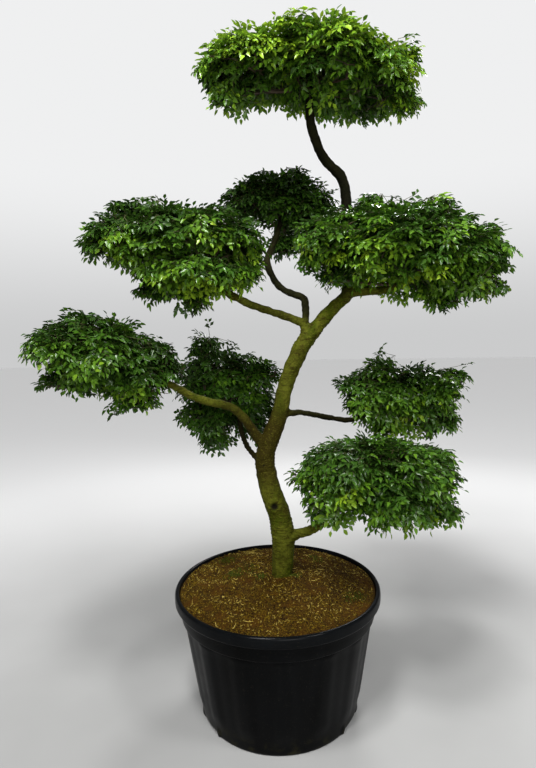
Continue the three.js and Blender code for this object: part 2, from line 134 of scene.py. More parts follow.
def rough_ground(points: Array, swells: tuple[tuple[float, float, int], ...]) -> Array:
    """Adds swells up.

    Args:
        points: Places in space, one row each.
        swells: The height, wavelength and seed of each swell.

    Returns:
        The rise at each place.
    """
    return sum(height * Swell(wavelength, seed).at(points) for height, wavelength, seed in swells)


def smooth_stations(stations: Array, step: float) -> Array:
    """Runs a smooth curve through stations.

    Args:
        stations: Rows of x, y, z and radius.
        step: The spacing of the new rows along the curve.

    Returns:
        Rows of x, y, z and radius on the curve.
    """
    before = 2 * stations[:1] - stations[1:2]
    after = 2 * stations[-1:] - stations[-2:-1]
    knots = np.concatenate([before, stations, after])
    rows = []
    for k in range(1, len(knots) - 2):
        a, b, c, d = knots[k - 1 : k + 3]
        count = max(2, int(round(np.linalg.norm((c - b)[:3]) / step)))
        for t in np.arange(count) / count:
            bend = (2 * a - 5 * b + 4 * c - d) * t * t + (3 * b - a - 3 * c + d) * t**3
            rows.append(b + 0.5 * ((c - a) * t + bend))
    rows.append(stations[-1])
    return np.array(rows)


# Meshes


@dataclass
class MeshDraft:
    """Points and faces gathered for one mesh, with a place on each map for each point."""

    points: list[Array] = field(default_factory=list)
    faces: list[Array] = field(default_factory=list)
    maps: dict[str, list[Array]] = field(default_factory=dict)
    count: int = 0

    def add(self, points: Array, faces: list[Array], **maps: Array) -> None:
        """Adds points and the faces between them.

        Args:
            points: Rows of x, y, z.
            faces: Arrays of rows of point numbers, counted within these points.
            maps: For each map's name, a row of two for each point.
        """
        self.points.append(points)
        self.faces.extend(rows + self.count for rows in faces)
        for name, places in maps.items():
            self.maps.setdefault(name, []).append(places)
        self.count += len(points)

    def make(self, name: str, material: Material) -> Piece:
        """Makes the object.

        Args:
            name: The piece's name.
            material: Its finish.

        Returns:
            The object, linked to the scene and smooth shaded.
        """
        mesh = bpy.data.meshes.new(name)
        points = np.concatenate(self.points)
        corners = np.concatenate([rows.ravel() for rows in self.faces])
        sizes = np.concatenate([np.full(len(rows), rows.shape[1]) for rows in self.faces])
        mesh.vertices.add(len(points))
        mesh.vertices.foreach_set("co", points.astype(np.float32).ravel())
        mesh.loops.add(len(corners))
        mesh.loops.foreach_set("vertex_index", corners.astype(np.int32))
        mesh.polygons.add(len(sizes))
        starts = np.concatenate([[0], np.cumsum(sizes)[:-1]])
        mesh.polygons.foreach_set("loop_start", starts.astype(np.int32))
        mesh.update(calc_edges=True)
        for map_name, parts in self.maps.items():
            places = np.concatenate(parts)[corners]
            layer = mesh.uv_layers.new(name=map_name)
            layer.data.foreach_set("uv", places.astype(np.float32).ravel())
        mesh.polygons.foreach_set("use_smooth", np.ones(len(sizes), dtype=bool))
        mesh.materials.append(material)
        piece = bpy.data.objects.new(name, mesh)
        bpy.context.scene.collection.objects.link(piece)
        return piece


def grid_faces(rows: int, columns: int, closed: bool) -> Array:
    """Numbers the four-sided faces of a grid of points.

    Args:
        rows: How many rows of points there are.
        columns: How many points there are in a row.
        closed: Whether the last column joins the first.

    Returns:
        Rows of four point numbers.
    """
    across = np.arange(columns if closed else columns - 1)
    down = np.arange(rows - 1)[:, None] * columns
    low, high = down + across, down + (across + 1) % columns
    corners = [low, high, high + columns, low + columns]
    return np.stack([part.ravel() for part in corners], axis=1)


def end_fans(count: int, columns: int, flip: bool = False) -> list[Array]:
    """Closes both ends of a grid with fans of triangles.

    Args:
        count: How many points the grid has; the two ends' middles come after them.
        columns: How many points there are in a row.
        flip: Whether the fans face the other way.

    Returns:
        The faces of the first row's fan and of the last row's.
    """
    corner = np.arange(columns)
    after = (corner + 1) % columns
    last = count - columns
    first_fan = [np.full(columns, count), after, corner]
    last_fan = [np.full(columns, count + 1), last + corner, last + after]
    fans = [np.stack(fan, axis=1) for fan in (first_fan, last_fan)]
    return [fan[:, [0, 2, 1]] for fan in fans] if flip else fans


def tubes(paths: Array, radii: Array, sides: int) -> tuple[Array, Array]:
    """Wraps a tube round each path.

    Args:
        paths: Points of each path, as path, point and x, y, z.
        radii: The radius at each point of each path.
        sides: How many sides a tube has.

    Returns:
        The points as path, ring, side and x, y, z, and the faces as rows of four.
    """
    tangents = unit(np.gradient(paths, axis=1))
    mean = np.abs(unit(paths[:, -1] - paths[:, 0]))
    reference = np.eye(3)[np.argmin(mean, axis=1)][:, None, :]
    first = square_to(np.broadcast_to(reference, tangents.shape), tangents)
    second = np.cross(tangents, first)
    turn = np.arange(sides) * 2 * math.pi / sides
    ring = first[:, :, None] * np.cos(turn)[:, None] + second[:, :, None] * np.sin(turn)[:, None]
    points = paths[:, :, None] + ring * radii[:, :, None, None]
    single = grid_faces(paths.shape[1], sides, closed=True)
    offsets = np.arange(len(paths)) * paths.shape[1] * sides
    faces = (single[None] + offsets[:, None, None]).reshape(-1, 4)
    return points, faces


def tube_places(shape: tuple[int, int, int]) -> Array:
    """Each point's place round and along its own tube, from 0 to 1 each way."""
    around = np.broadcast_to(np.linspace(0, 1, shape[2]), shape)
    along = np.broadcast_to(np.linspace(0, 1, shape[1])[None, :, None], shape)
    return np.stack([around, along], axis=-1).reshape(-1, 2)


def bezier(start: Array, pull: Array, end: Array, t: Array) -> Array:
    """Points on curves that leave start towards pull and come from pull to end."""
    t = t[..., None]
    start, pull, end = start[:, None], pull[:, None], end[:, None]
    return (1 - t) ** 2 * start + 2 * t * (1 - t) * pull + t**2 * end


@dataclass(frozen=True)
class ToneSheet:
    """A sheet of cells, one for each pair of tones, that small pieces share."""

    columns: int = 8
    rows: int = 8
    margin: float = 0.12

    def places(self, tones: Array, inside: Array) -> dict[str, Array]:
        """Lays pieces on the sheet.

        Args:
            tones: Two tones from 0 to 1 for each point.
            inside: The point's place in its own cell, from 0 to 1 each way.

        Returns:
            The tone map, rounded to the cell, and the sheet's own map.
        """
        size = np.array([self.columns, self.rows])
        cell = np.clip(np.floor(tones * size), 0, size - 1)
        within = self.margin + (1 - 2 * self.margin) * inside
        return {TONE_MAP: (cell + 0.5) / size, BAKE_MAP: (cell + within) / size}


# Finishes


class Mix(Enum):
    """Ways to lay one colour over another."""

    PLAIN = "MIX"
    OVERLAY = "OVERLAY"


class FinishSketch:
    """Draws the nodes of one material and joins them."""

    def __init__(self, name: str) -> None:
        """Starts a material with one surface shader.

        Args:
            name: The material's name.
        """
        self.material = bpy.data.materials.new(name)
        self.material.use_nodes = True
        self.tree = self.material.node_tree
        self.surface = self.tree.nodes["Principled BSDF"]
        self.output = self.tree.nodes["Material Output"]

    def node(self, kind: str, **settings: object) -> bpy.types.Node:
        """Adds a node and sets what it has besides its sockets."""
        made = self.tree.nodes.new(kind)
        for key, value in settings.items():
            setattr(made, key, value)
        return made

    def join(self, source: Socket, target: Socket) -> None:
        """Joins two sockets."""
        self.tree.links.new(source, target)

    def set_or_join(self, socket: Socket, value: object) -> None:
        """Joins value to a socket, or sets it there if it is no socket."""
        if isinstance(value, Socket):
            self.join(value, socket)
        elif isinstance(value, tuple) and len(value) == 3 and socket.type == "RGBA":
            socket.default_value = (*value, 1.0)
        else:
            socket.default_value = value

    def object_place(self, stretch: Point = (1.0, 1.0, 1.0)) -> Socket:
        """The place on the piece in metres, stretched for patterns that run one way."""
        place = self.node("ShaderNodeTexCoord").outputs["Object"]
        mapping = self.node("ShaderNodeMapping")
        mapping.inputs["Scale"].default_value = stretch
        self.join(place, mapping.inputs["Vector"])
        return mapping.outputs["Vector"]

    def map_place(self, name: str) -> tuple[Socket, Socket]:
        """The two places on a named map."""
        split = self.node("ShaderNodeSeparateXYZ")
        self.join(self.node("ShaderNodeUVMap", uv_map=name).outputs["UV"], split.inputs[0])
        return split.outputs["X"], split.outputs["Y"]

    def height_of(self, place: Socket) -> Socket:
        """How high a place is."""
        split = self.node("ShaderNodeSeparateXYZ")
        self.join(place, split.inputs[0])
        return split.outputs["Z"]

    def value_of(self, name: str) -> Socket:
        """A value that the mesh holds for each of its points."""
        return self.node("ShaderNodeAttribute", attribute_name=name).outputs["Fac"]

    def noise(
        self, place: Socket, scale: float, detail: float = 4.0, warp: float = 0.0
    ) -> Socket:
        """A cloudy pattern.

        Args:
            place: Where the pattern is read.
            scale: How many clouds there are to a metre.
            detail: How many finer layers it has.
            warp: How much it bends itself.

        Returns:
            Values mostly between 0.3 and 0.7.
        """
        made = self.node("ShaderNodeTexNoise")
        self.join(place, made.inputs["Vector"])
        made.inputs["Scale"].default_value = scale
        made.inputs["Detail"].default_value = detail
        made.inputs["Distortion"].default_value = warp
        return made.outputs["Fac"]

    def ramp(self, value: Socket, stops: list[tuple[float, Colour]]) -> Socket:
        """Colours by value.

        Args:
            value: What picks the colour.
            stops: Places from 0 to 1, each with its colour.

        Returns:
            The colour.
        """
        made = self.node("ShaderNodeValToRGB")
        self.join(value, made.inputs["Fac"])
        elements = made.color_ramp.elements
        while len(elements) < len(stops):
            elements.new(0.5)
        for element, (place, colour) in zip(elements, stops):
            element.position = place
            element.color = (*colour, 1.0)
        return made.outputs["Color"]

    def between(self, value: Socket, low: float, high: float) -> Socket:
        """Rises from 0 where value is low to 1 where it is high."""
        made = self.node("ShaderNodeMapRange", interpolation_type="SMOOTHSTEP")
        self.join(value, made.inputs["Value"])
        made.inputs["From Min"].default_value = min(low, high)
        made.inputs["From Max"].default_value = max(low, high)
        made.inputs["To Min"].default_value = 0.0 if low < high else 1.0
        made.inputs["To Max"].default_value = 1.0 if low < high else 0.0
        return made.outputs["Result"]

    def scaled(self, value: Socket, low: float, high: float) -> Socket:
        """Maps a value from 0 to 1 to run from low to high."""
        made = self.node("ShaderNodeMapRange")
        self.join(value, made.inputs["Value"])
        made.inputs["To Min"].default_value = low
        made.inputs["To Max"].default_value = high
        return made.outputs["Result"]

    def sum_of(self, operation: str, first: object, second: object) -> Socket:
        """The result of a plain sum on two values."""
        made = self.node("ShaderNodeMath", operation=operation)
        self.set_or_join(made.inputs[0], first)
        self.set_or_join(made.inputs[1], second)
        return made.outputs[0]

    def mix(self, share: object, under: object, over: object, way: Mix = Mix.PLAIN) -> Socket:
        """Lays one colour over another.

        Args:
            share: How much of the upper colour shows.
            under: The lower colour.
            over: The upper colour.
            way: How they mix.

        Returns:
            The colour.
        """
        made = self.node("ShaderNodeMix", data_type="RGBA", blend_type=way.value)
        self.set_or_join(made.inputs["Factor"], share)
        self.set_or_join(made.inputs[6], under)
        self.set_or_join(made.inputs[7], over)
        return made.outputs[2]

    def wash(self, colour: Socket, over: Colour, where: Socket, most: float) -> Socket:
        """Lays a colour over another by a pattern.

        Args:
            colour: The lower colour.
            over: The upper colour.
            where: From 0 where there is none of it to 1 where there is most.
            most: How much of it shows there.

        Returns:
            The colour.
        """
        return self.mix(self.sum_of("MULTIPLY", where, most), colour, over)

    def relief(self, height: Socket, depth: float, strength: float = 1.0) -> None:
        """Raises the surface's light and shade by a height from 0 to 1, over depth metres."""
        made = self.node("ShaderNodeBump")
        made.inputs["Strength"].default_value = strength
        made.inputs["Distance"].default_value = depth
        self.join(height, made.inputs["Height"])
        self.join(made.outputs["Normal"], self.surface.inputs["Normal"])

    def finish(self, colour: Socket, roughness: object, shine: float = 0.5) -> Material:
        """Sets the surface's colour and gloss.

        Args:
            colour: The colour.
            roughness: A number or a socket.
            shine: How strongly it mirrors, 0.5 for most things.

        Returns:
            The finished material.
        """
        self.join(colour, self.surface.inputs["Base Color"])
        self.set_or_join(self.surface.inputs["Roughness"], roughness)
        self.surface.inputs["Specular IOR Level"].default_value = shine
        return self.material


@dataclass(frozen=True)
class LeafFinish:
    """Elm leaves: tones by age and by hue, a pale midrib and side veins."""

    name: str = "elm_leaf"
    old: Colour = (0.006, 0.020, 0.003)
    grown: Colour = (0.024, 0.076, 0.006)
    fresh: Colour = (0.080, 0.180, 0.010)
    young: Colour = (0.230, 0.370, 0.020)
    warm: Colour = (0.80, 0.62, 0.30)
    rib: Colour = (0.16, 0.26, 0.05)
    glow: float = 0.22
    roughness: float = 0.26
    shine: float = 0.23

    def make(self) -> Material:
        """Makes the material."""
        sketch = FinishSketch(self.name)
        hue, age = sketch.map_place(TONE_MAP)
        across, along = sketch.map_place(LEAF_MAP)
        tones = [(0.0, self.old), (0.4, self.grown), (0.72, self.fresh), (1.0, self.young)]
        # The age tone also carries painted light and shade, set for each head and side where the
        # sprays are seated.
        colour = sketch.ramp(age, tones)
        colour = sketch.mix(sketch.scaled(hue, 0.0, 0.30), colour, self.warm, Mix.OVERLAY)
        off_rib = sketch.sum_of("ABSOLUTE", sketch.sum_of("SUBTRACT", across, 0.5), 0.0)
        slant = sketch.sum_of("SUBTRACT", along, sketch.sum_of("MULTIPLY", off_rib, 0.55))
        wave = sketch.sum_of("SINE", sketch.sum_of("MULTIPLY", slant, 52.0), 0.0)
        colour = sketch.wash(colour, self.rib, sketch.between(wave, 0.80, 1.0), 0.16)
        colour = sketch.wash(colour, self.rib, sketch.between(off_rib, 0.05, 0.015), 0.42)
        material = sketch.finish(colour, self.roughness, self.shine)
        glow = sketch.node("ShaderNodeBsdfTranslucent")
        sketch.join(colour, glow.inputs["Color"])
        both = sketch.node("ShaderNodeMixShader")
        both.inputs["Fac"].default_value = self.glow
        sketch.join(sketch.surface.outputs[0], both.inputs[1])
        sketch.join(glow.outputs[0], both.inputs[2])
        sketch.join(both.outputs[0], sketch.output.inputs["Surface"])
        return material


@dataclass(frozen=True)
class TwigFinish:
    """Thin twigs: brown with a green cast towards their young ends."""

    name: str = "elm_twig"
    dark: Colour = (0.012, 0.008, 0.004)
    light: Colour = (0.060, 0.040, 0.018)
    young: Colour = (0.050, 0.060, 0.014)

    def make(self) -> Material:
        """Makes the material."""
        sketch = FinishSketch(self.name)
        hue, age = sketch.map_place(TONE_MAP)
        bark = sketch.ramp(hue, [(0.0, self.dark), (1.0, self.light)])
        colour = sketch.mix(sketch.between(age, 0.35, 1.0), bark, self.young)
        return sketch.finish(colour, 0.7, 0.3)


@dataclass(frozen=True)
class BarkFinish:
    """Olive bark with algae, pale corky specks and fine cracks, darker on some limbs, with painted
    shade mid-trunk.
    """

    name: str = "elm_bark"
    olive: Colour = (0.038, 0.041, 0.003)
    yellow: Colour = (0.090, 0.098, 0.008)
    green: Colour = (0.034, 0.046, 0.001)
    brown: Colour = (0.020, 0.014, 0.001)
    black: Colour = (0.002, 0.002, 0.001)
    sooty: Colour = (0.006, 0.005, 0.002)
    speck: Colour = (0.190, 0.190, 0.020)
    shadow_band_rise: tuple[float, float] = (0.76, 0.90)
    shadow_band_fall: tuple[float, float] = (1.04, 1.16)

    def make(self) -> Material:
        """Makes the material."""
        sketch = FinishSketch(self.name)
        place = sketch.object_place()
        upright = sketch.object_place((1.0, 1.0, 0.35))
        level = sketch.object_place((1.0, 1.0, 5.0))
        clouds = sketch.noise(place, 9.0, 5.0, 0.6)
        colour = sketch.ramp(clouds, [(0.36, self.olive), (0.64, self.yellow)])
        algae = sketch.between(sketch.noise(upright, 14.0, 6.0, 0.8), 0.46, 0.66)
        colour = sketch.mix(algae, colour, self.green)
        stain = sketch.between(sketch.noise(place, 12.0, 8.0, 1.2), 0.54, 0.70)
        colour = sketch.wash(colour, self.brown, stain, 0.65)
        rings = sketch.between(sketch.noise(level, 42.0, 3.0, 0.4), 0.54, 0.64)
        colour = sketch.wash(colour, self.brown, rings, 0.75)
        mottle = sketch.between(sketch.noise(place, 75.0, 3.0, 0.5), 0.53, 0.64)
        colour = sketch.wash(colour, self.brown, mottle, 0.45)
        height = sketch.height_of(place)
        # Painted shadow: a dark brown band round the middle of the trunk, where the heads above
        # shade it.
        rise = sketch.between(height, *self.shadow_band_rise)
        fall = sketch.between(height, *self.shadow_band_fall)
        colour = sketch.wash(colour, self.brown, sketch.sum_of("SUBTRACT", rise, fall), 0.93)
        speck = sketch.between(sketch.noise(level, 150.0, 3.0), 0.585, 0.68)
        colour = sketch.wash(colour, self.speck, speck, 0.5)
        night = sketch.ramp(clouds, [(0.35, self.black), (0.7, self.sooty)])
        colour = sketch.mix(sketch.value_of("dark"), colour, night)
        colour = sketch.mix(sketch.between(sketch.value_of("scar"), 0.2, 0.8), colour, self.sooty)
        grain = sketch.noise(level, 90.0, 8.0, 0.9)
        sketch.relief(sketch.sum_of("ADD", grain, sketch.noise(upright, 160.0, 4.0)), 0.0026)
        return sketch.finish(colour, sketch.scaled(clouds, 0.85, 0.65), 0.05)


@dataclass(frozen=True)
class TubFinish:
    """Black moulded plastic with a soft gloss, a painted sheen on the collar, dust and dried
    splashes at its foot.
    """

    name: str = "tub_plastic"
    deep: Colour = (0.0010, 0.0011, 0.0011)
    worn: Colour = (0.0026, 0.0029, 0.0032)
    painted_sheen: Colour = (0.0036, 0.0043, 0.0050)
    dust: Colour = (0.030, 0.026, 0.018)
    algae: Colour = (0.014, 0.013, 0.005)
    splash_height: float = 0.075
    collar_foot: tuple[float, float] = (0.412, 0.420)
    lip: tuple[float, float] = (0.447, 0.450)

    def make(self) -> Material:
        """Makes the material."""
        sketch = FinishSketch(self.name)
        place = sketch.object_place()
        upright = sketch.object_place((1.0, 1.0, 0.12))
        wear = sketch.noise(upright, 11.0, 6.0, 0.5)
        colour = sketch.ramp(wear, [(0.35, self.deep), (0.72, self.worn)])
        height = sketch.height_of(place)
        low = sketch.between(height, self.splash_height, 0.0)
        blots = sketch.between(sketch.noise(place, 26.0, 8.0, 0.6), 0.45, 0.68)
        # Painted sheen: the collar is coloured a lighter grey-blue in cloudy patches, standing in
        # for its reflection.
        collar = sketch.between(height, *self.collar_foot)
        sheen_patches = sketch.scaled(sketch.noise(place, 18.0, 5.0), 0.1, 0.9)
        colour = sketch.mix(sketch.sum_of("MULTIPLY", collar, sheen_patches), colour, self.painted_sheen)
        colour = sketch.mix(sketch.sum_of("MULTIPLY", low, blots), colour, self.algae)
        specks = sketch.between(sketch.noise(place, 210.0, 2.0), 0.62, 0.74)
        colour = sketch.wash(colour, self.dust, specks, 0.35)
        rough = sketch.scaled(sketch.noise(place, 35.0, 6.0), 0.26, 0.42)
        gloss = sketch.sum_of("MULTIPLY", sketch.between(height, *self.lip), 0.16)
        rough = sketch.sum_of("SUBTRACT", rough, gloss)
        sketch.relief(sketch.noise(place, 420.0, 2.0), 0.0003, 0.4)
        return sketch.finish(colour, rough, 0.05)


@dataclass(frozen=True)
class MulchFinish:
    """A felt of golden and rusty fibres, with painted shade in the hollows between them."""

    name: str = "mulch_bed"
    painted_hollow_shade: Colour = (0.003, 0.002, 0.0005)
    rust: Colour = (0.048, 0.020, 0.002)
    gold: Colour = (0.150, 0.098, 0.006)

    def make(self) -> Material:
        """Makes the material."""
        sketch = FinishSketch(self.name)
        place = sketch.object_place()
        patches = sketch.noise(place, 13.0, 4.0, 0.5)
        fibres = sketch.noise(place, 190.0, 8.0, 2.5)
        # Painted shade: where the fibre pattern, which is also the bump, lies lowest, the felt is
        # near black.
        colour = sketch.ramp(fibres, [(0.44, self.painted_hollow_shade), (0.54, self.rust), (0.64, self.gold)])
        colour = sketch.wash(colour, self.rust, sketch.between(patches, 0.50, 0.64), 0.7)
        sketch.relief(fibres, 0.004)
        return sketch.finish(colour, 0.9, 0.05)


@dataclass(frozen=True)
class FibreFinish:
    """Loose fibres, straw and moss, from dark to pale and from rust to green."""

    name: str = "mulch_fibre"
    dark: Colour = (0.012, 0.007, 0.002)
    rust: Colour = (0.075, 0.032, 0.003)
    gold: Colour = (0.200, 0.140, 0.009)
    straw: Colour = (0.440, 0.340, 0.080)
    moss: Colour = (0.048, 0.060, 0.006)

    def make(self) -> Material:
        """Makes the material."""
        sketch = FinishSketch(self.name)
        hue, light = sketch.map_place(TONE_MAP)
        stops = [(0.05, self.dark), (0.35, self.rust), (0.68, self.gold), (0.98, self.straw)]
        colour = sketch.ramp(light, stops)
        colour = sketch.mix(sketch.between(hue, 0.74, 0.92), colour, self.moss)
        return sketch.finish(colour, 0.8, 0.06)


@dataclass(frozen=True)
class SoilFinish:
    """Dark crumbly potting soil."""

    name: str = "potting_soil"
    wet: Colour = (0.004, 0.003, 0.002)
    dry: Colour = (0.024, 0.016, 0.008)

    def make(self) -> Material:
        """Makes the material."""
        sketch = FinishSketch(self.name)
        place = sketch.object_place()
        crumbs = sketch.noise(place, 120.0, 6.0, 0.4)
        sketch.relief(crumbs, 0.003)
        return sketch.finish(sketch.ramp(crumbs, [(0.35, self.wet), (0.7, self.dry)]), 0.95, 0.2)


@dataclass(frozen=True)
class FloorFinish:
    """A pale studio floor with faint clouds, grey near the tub as a painted shadow, paler far
    away.
    """

    name: str = "studio_floor"
    shade: Colour = (0.29, 0.29, 0.285)
    light: Colour = (0.33, 0.33, 0.325)
    far: Colour = (0.95, 0.95, 0.95)
    near_to: float = 0.5
    far_from: float = 4.0

    def make(self) -> Material:
        """Makes the material."""
        sketch = FinishSketch(self.name)
        place = sketch.object_place()
        clouds = sketch.noise(place, 1.5, 3.0)
        colour = sketch.ramp(clouds, [(0.3, self.shade), (0.7, self.light)])
        away = sketch.node("ShaderNodeVectorMath", operation="LENGTH")
        sketch.join(place, away.inputs[0])
        # Painted shadow: the floor is a darker grey near the tub and grows pale by far_from.
        share = sketch.between(away.outputs["Value"], self.near_to, self.far_from)
        return sketch.finish(sketch.mix(share, colour, self.far), 0.7, 0.2)


# The leafy heads


@dataclass(frozen=True)
class Lump:
    """One rounded part of a clipped head: its middle and how far it reaches each way."""

    x: float
    y: float
    z: float
    width: float
    depth: float
    up: float
    down: float

    def middle(self) -> Array:
        """The middle of the lump."""
        return np.array([self.x, self.y, self.z])

    def reach(self, ways: Array) -> Array:
        """Half its size along each axis, on the side that each way points to."""
        rise = np.where(ways[:, 2] > 0, self.up, self.down)
        flat = np.full(len(ways), 1.0)
        return np.stack([flat * self.width, flat * self.depth, rise], axis=1)

    def surface(self, ways: Array, share: Array) -> Array:
        """Points in these directions, at a share of the way out."""
        return self.middle() + ways * self.reach(ways) * share[:, None]

    def facing(self, ways: Array) -> Array:
        """Which way the outside faces in these directions."""
        return unit(ways / self.reach(ways))

    def share_of(self, points: Array) -> Array:
        """How far out points are, 1 being the outside."""
        steps = points - self.middle()
        return np.linalg.norm(steps / self.reach(steps), axis=1)

    def area(self) -> float:
        """The area of its outside, near enough."""
        rise = (self.up + self.down) / 2
        flats = self.width * self.depth + self.width * rise + self.depth * rise
        return 4 * math.pi / 3 * flats


class Blade(Enum):
    """How finely a leaf is made: in full where it shows, plain deep in a head."""

    FULL = "full"
    PLAIN = "plain"


@dataclass(frozen=True)
class LeafForm:
    """A leaf's points and faces, and the ranges of its width, fold and curl.

    Each point gives the share of the length, the share of the width, the share of the curl
    and the share of the fold.
    """

    points: tuple[tuple[float, float, float, float], ...]
    triangles: tuple[tuple[int, int, int], ...]
    width: tuple[float, float] = (0.46, 0.57)
    curl: tuple[float, float] = (0.02, 0.24)
    fold: tuple[float, float] = (0.10, 0.34)

    def lay(
        self,
        base: Array,
        axis: Array,
        face: Array,
        length: Array,
        draw: np.random.Generator,
    ) -> tuple[Array, Array, Array]:
        """Lays one leaf at each base.

        Args:
            base: Where each leaf starts.
            axis: Which way it points.
            face: Which way its upper side faces.
            length: How long it is.
            draw: The draws for its width, fold and curl.

        Returns:
            The points, the faces, and each point's place on its own leaf.
        """
        count = len(base)
        shape = np.array(self.points)
        across = np.cross(face, axis)
        width = length * draw.uniform(*self.width, count)
        curl = length * draw.uniform(*self.curl, count)
        fold = width * draw.uniform(*self.fold, count)
        rise = fold[:, None] * shape[:, 3] - curl[:, None] * shape[:, 2]
        points = (
            base[:, None]
            + axis[:, None] * (length[:, None] * shape[:, 0])[..., None]
            + across[:, None] * (width[:, None] * shape[:, 1])[..., None]
            + face[:, None] * rise[..., None]
        )
        offsets = (np.arange(count) * len(shape))[:, None, None]
        faces = (np.array(self.triangles)[None] + offsets).reshape(-1, 3)
        inside = np.tile(np.stack([shape[:, 1] + 0.5, shape[:, 0]], axis=1), (count, 1))
        return points.reshape(-1, 3), faces, inside


LEAF_FORMS = {
    Blade.FULL: LeafForm(
        points=(
            (0.00, 0.00, 0.00, 0.0),
            (0.34, -0.50, 0.02, 1.0),
            (0.36, 0.00, 0.02, 0.0),
            (0.34, 0.50, 0.02, 1.0),
            (0.70, -0.34, 0.40, 0.8),
            (0.70, 0.34, 0.40, 0.8),
            (1.00, 0.00, 1.00, 0.0),
        ),
        triangles=((0, 2, 1), (0, 3, 2), (1, 2, 4), (2, 3, 5), (2, 6, 4), (2, 5, 6)),
    ),
    Blade.PLAIN: LeafForm(
        points=(
            (0.00, 0.00, 0.00, 0.0),
            (0.48, -0.50, 0.10, 1.0),
            (0.50, 0.00, 0.10, 0.0),
            (0.48, 0.50, 0.10, 1.0),
            (1.00, 0.00, 1.00, 0.0),
        ),
        triangles=((0, 2, 1), (0, 3, 2), (1, 2, 4), (2, 3, 4)),
    ),
}


@dataclass
class Stems:
    """Leafy stems: start, the point each bends round, end, upper side and tones."""

    start: Array
    pull: Array
    end: Array
    up: Array
    age: Array
    hue: Array

    def at(self, t: Array) -> Array:
        """Points on the stems at shares t of the way along."""
        return bezier(self.start, self.pull, self.end, t)

    def heading(self, t: Array) -> Array:
        """Which way the stems run at shares t."""
        t = t[..., None]
        run = (self.pull - self.start)[:, None] * (1 - t)
        return unit(run + (self.end - self.pull)[:, None] * t)

    def reach(self) -> Array:
        """About how long each stem is."""
        legs = np.linalg.norm(self.pull - self.start, axis=1)
        return legs + np.linalg.norm(self.end - self.pull, axis=1)


@dataclass(frozen=True)
class Forking:
    """One round of forks: how many twigs it adds, how far out they end and how thick.

    The jitter is how much the ends vary, and the age runs from 0 for old bark to 1 for
    green shoots.
    """

    per_lump: int
    share: float
    steps: int
    sides: int
    radii: tuple[float, float]
    age: float
    jitter: float = 0.12


FORKINGS = (
    Forking(per_lump=3, share=0.48, steps=9, sides=6, radii=(0.0060, 0.0034), age=0.0),
    Forking(per_lump=14, share=0.66, steps=6, sides=4, radii=(0.0034, 0.0020), age=0.1),
    Forking(per_lump=44, share=0.80, steps=4, sides=3, radii=(0.0020, 0.0012), age=0.3),
)


@dataclass(frozen=True)
class Layer:
    """A layer of sprays: how many there are to a square metre, and how far out they end.

    A spray that ends deeper than the buried share of another lump is left out. Its main stem
    has main_steps points.
    """

    blade: Blade
    per_area: float
    ends: tuple[float, float]
    buried: float
    main_steps: int


LAYERS = (
    Layer(Blade.FULL, per_area=445.0, ends=(0.88, 1.03), buried=0.88, main_steps=4),
    Layer(Blade.PLAIN, per_area=250.0, ends=(0.52, 0.84), buried=0.6, main_steps=3),
)


@dataclass(frozen=True)
class SprayHabit:
    """How sprays of leaves grow: flat fans with leaves in two ranks on every stem.

    Where a head faces up by more than crown_slope, strays end within crown_reach, and where it
    faces down by more than under_slope, sprays thin out by bare_below. A lump narrower than
    full_width has fewer twigs. The ages pick the leaves' tones, from 0 for the darkest to 1 for
    the youngest; leaves further out are made lighter, partly as younger growth and partly as
    painted shade deep inside a head.
    """

    length: tuple[float, float] = (0.095, 0.150)
    side_places: tuple[float, ...] = (0.42, 0.55, 0.68, 0.81)
    side_shares: tuple[float, ...] = (0.58, 0.52, 0.42, 0.30)
    side_angle: tuple[float, float] = (36.0, 54.0)
    main_leaves: int = 9
    side_leaves: int = 5
    main_spacing: float = 0.0108
    side_spacing: float = 0.0098
    leaf_length: float = 0.0248
    leaf_angle: tuple[float, float] = (50.0, 9.0)
    tuft_width: float = 0.12
    tuft_height: float = 0.070
    stray_share: float = 0.13
    stray_reach: tuple[float, float] = (1.0, 1.14)
    crown_slope: float = 0.35
    crown_reach: float = 1.05
    under_slope: float = 0.15
    bare_below: float = 1.25
    stem_radius: tuple[float, float] = (0.0013, 0.0005)
    side_steps: int = 2
    stem_age: float = 0.8
    base_age: float = 0.10
    # Partly younger growth, partly painted shade: leaves further out in a head lighter, deep
    # inside darker.
    outer_age_and_light: float = 0.30
    cloud_width: float = 0.20
    cloud_age: float = 0.12
    tip_age: float = 0.16
    full_width: float = 0.11


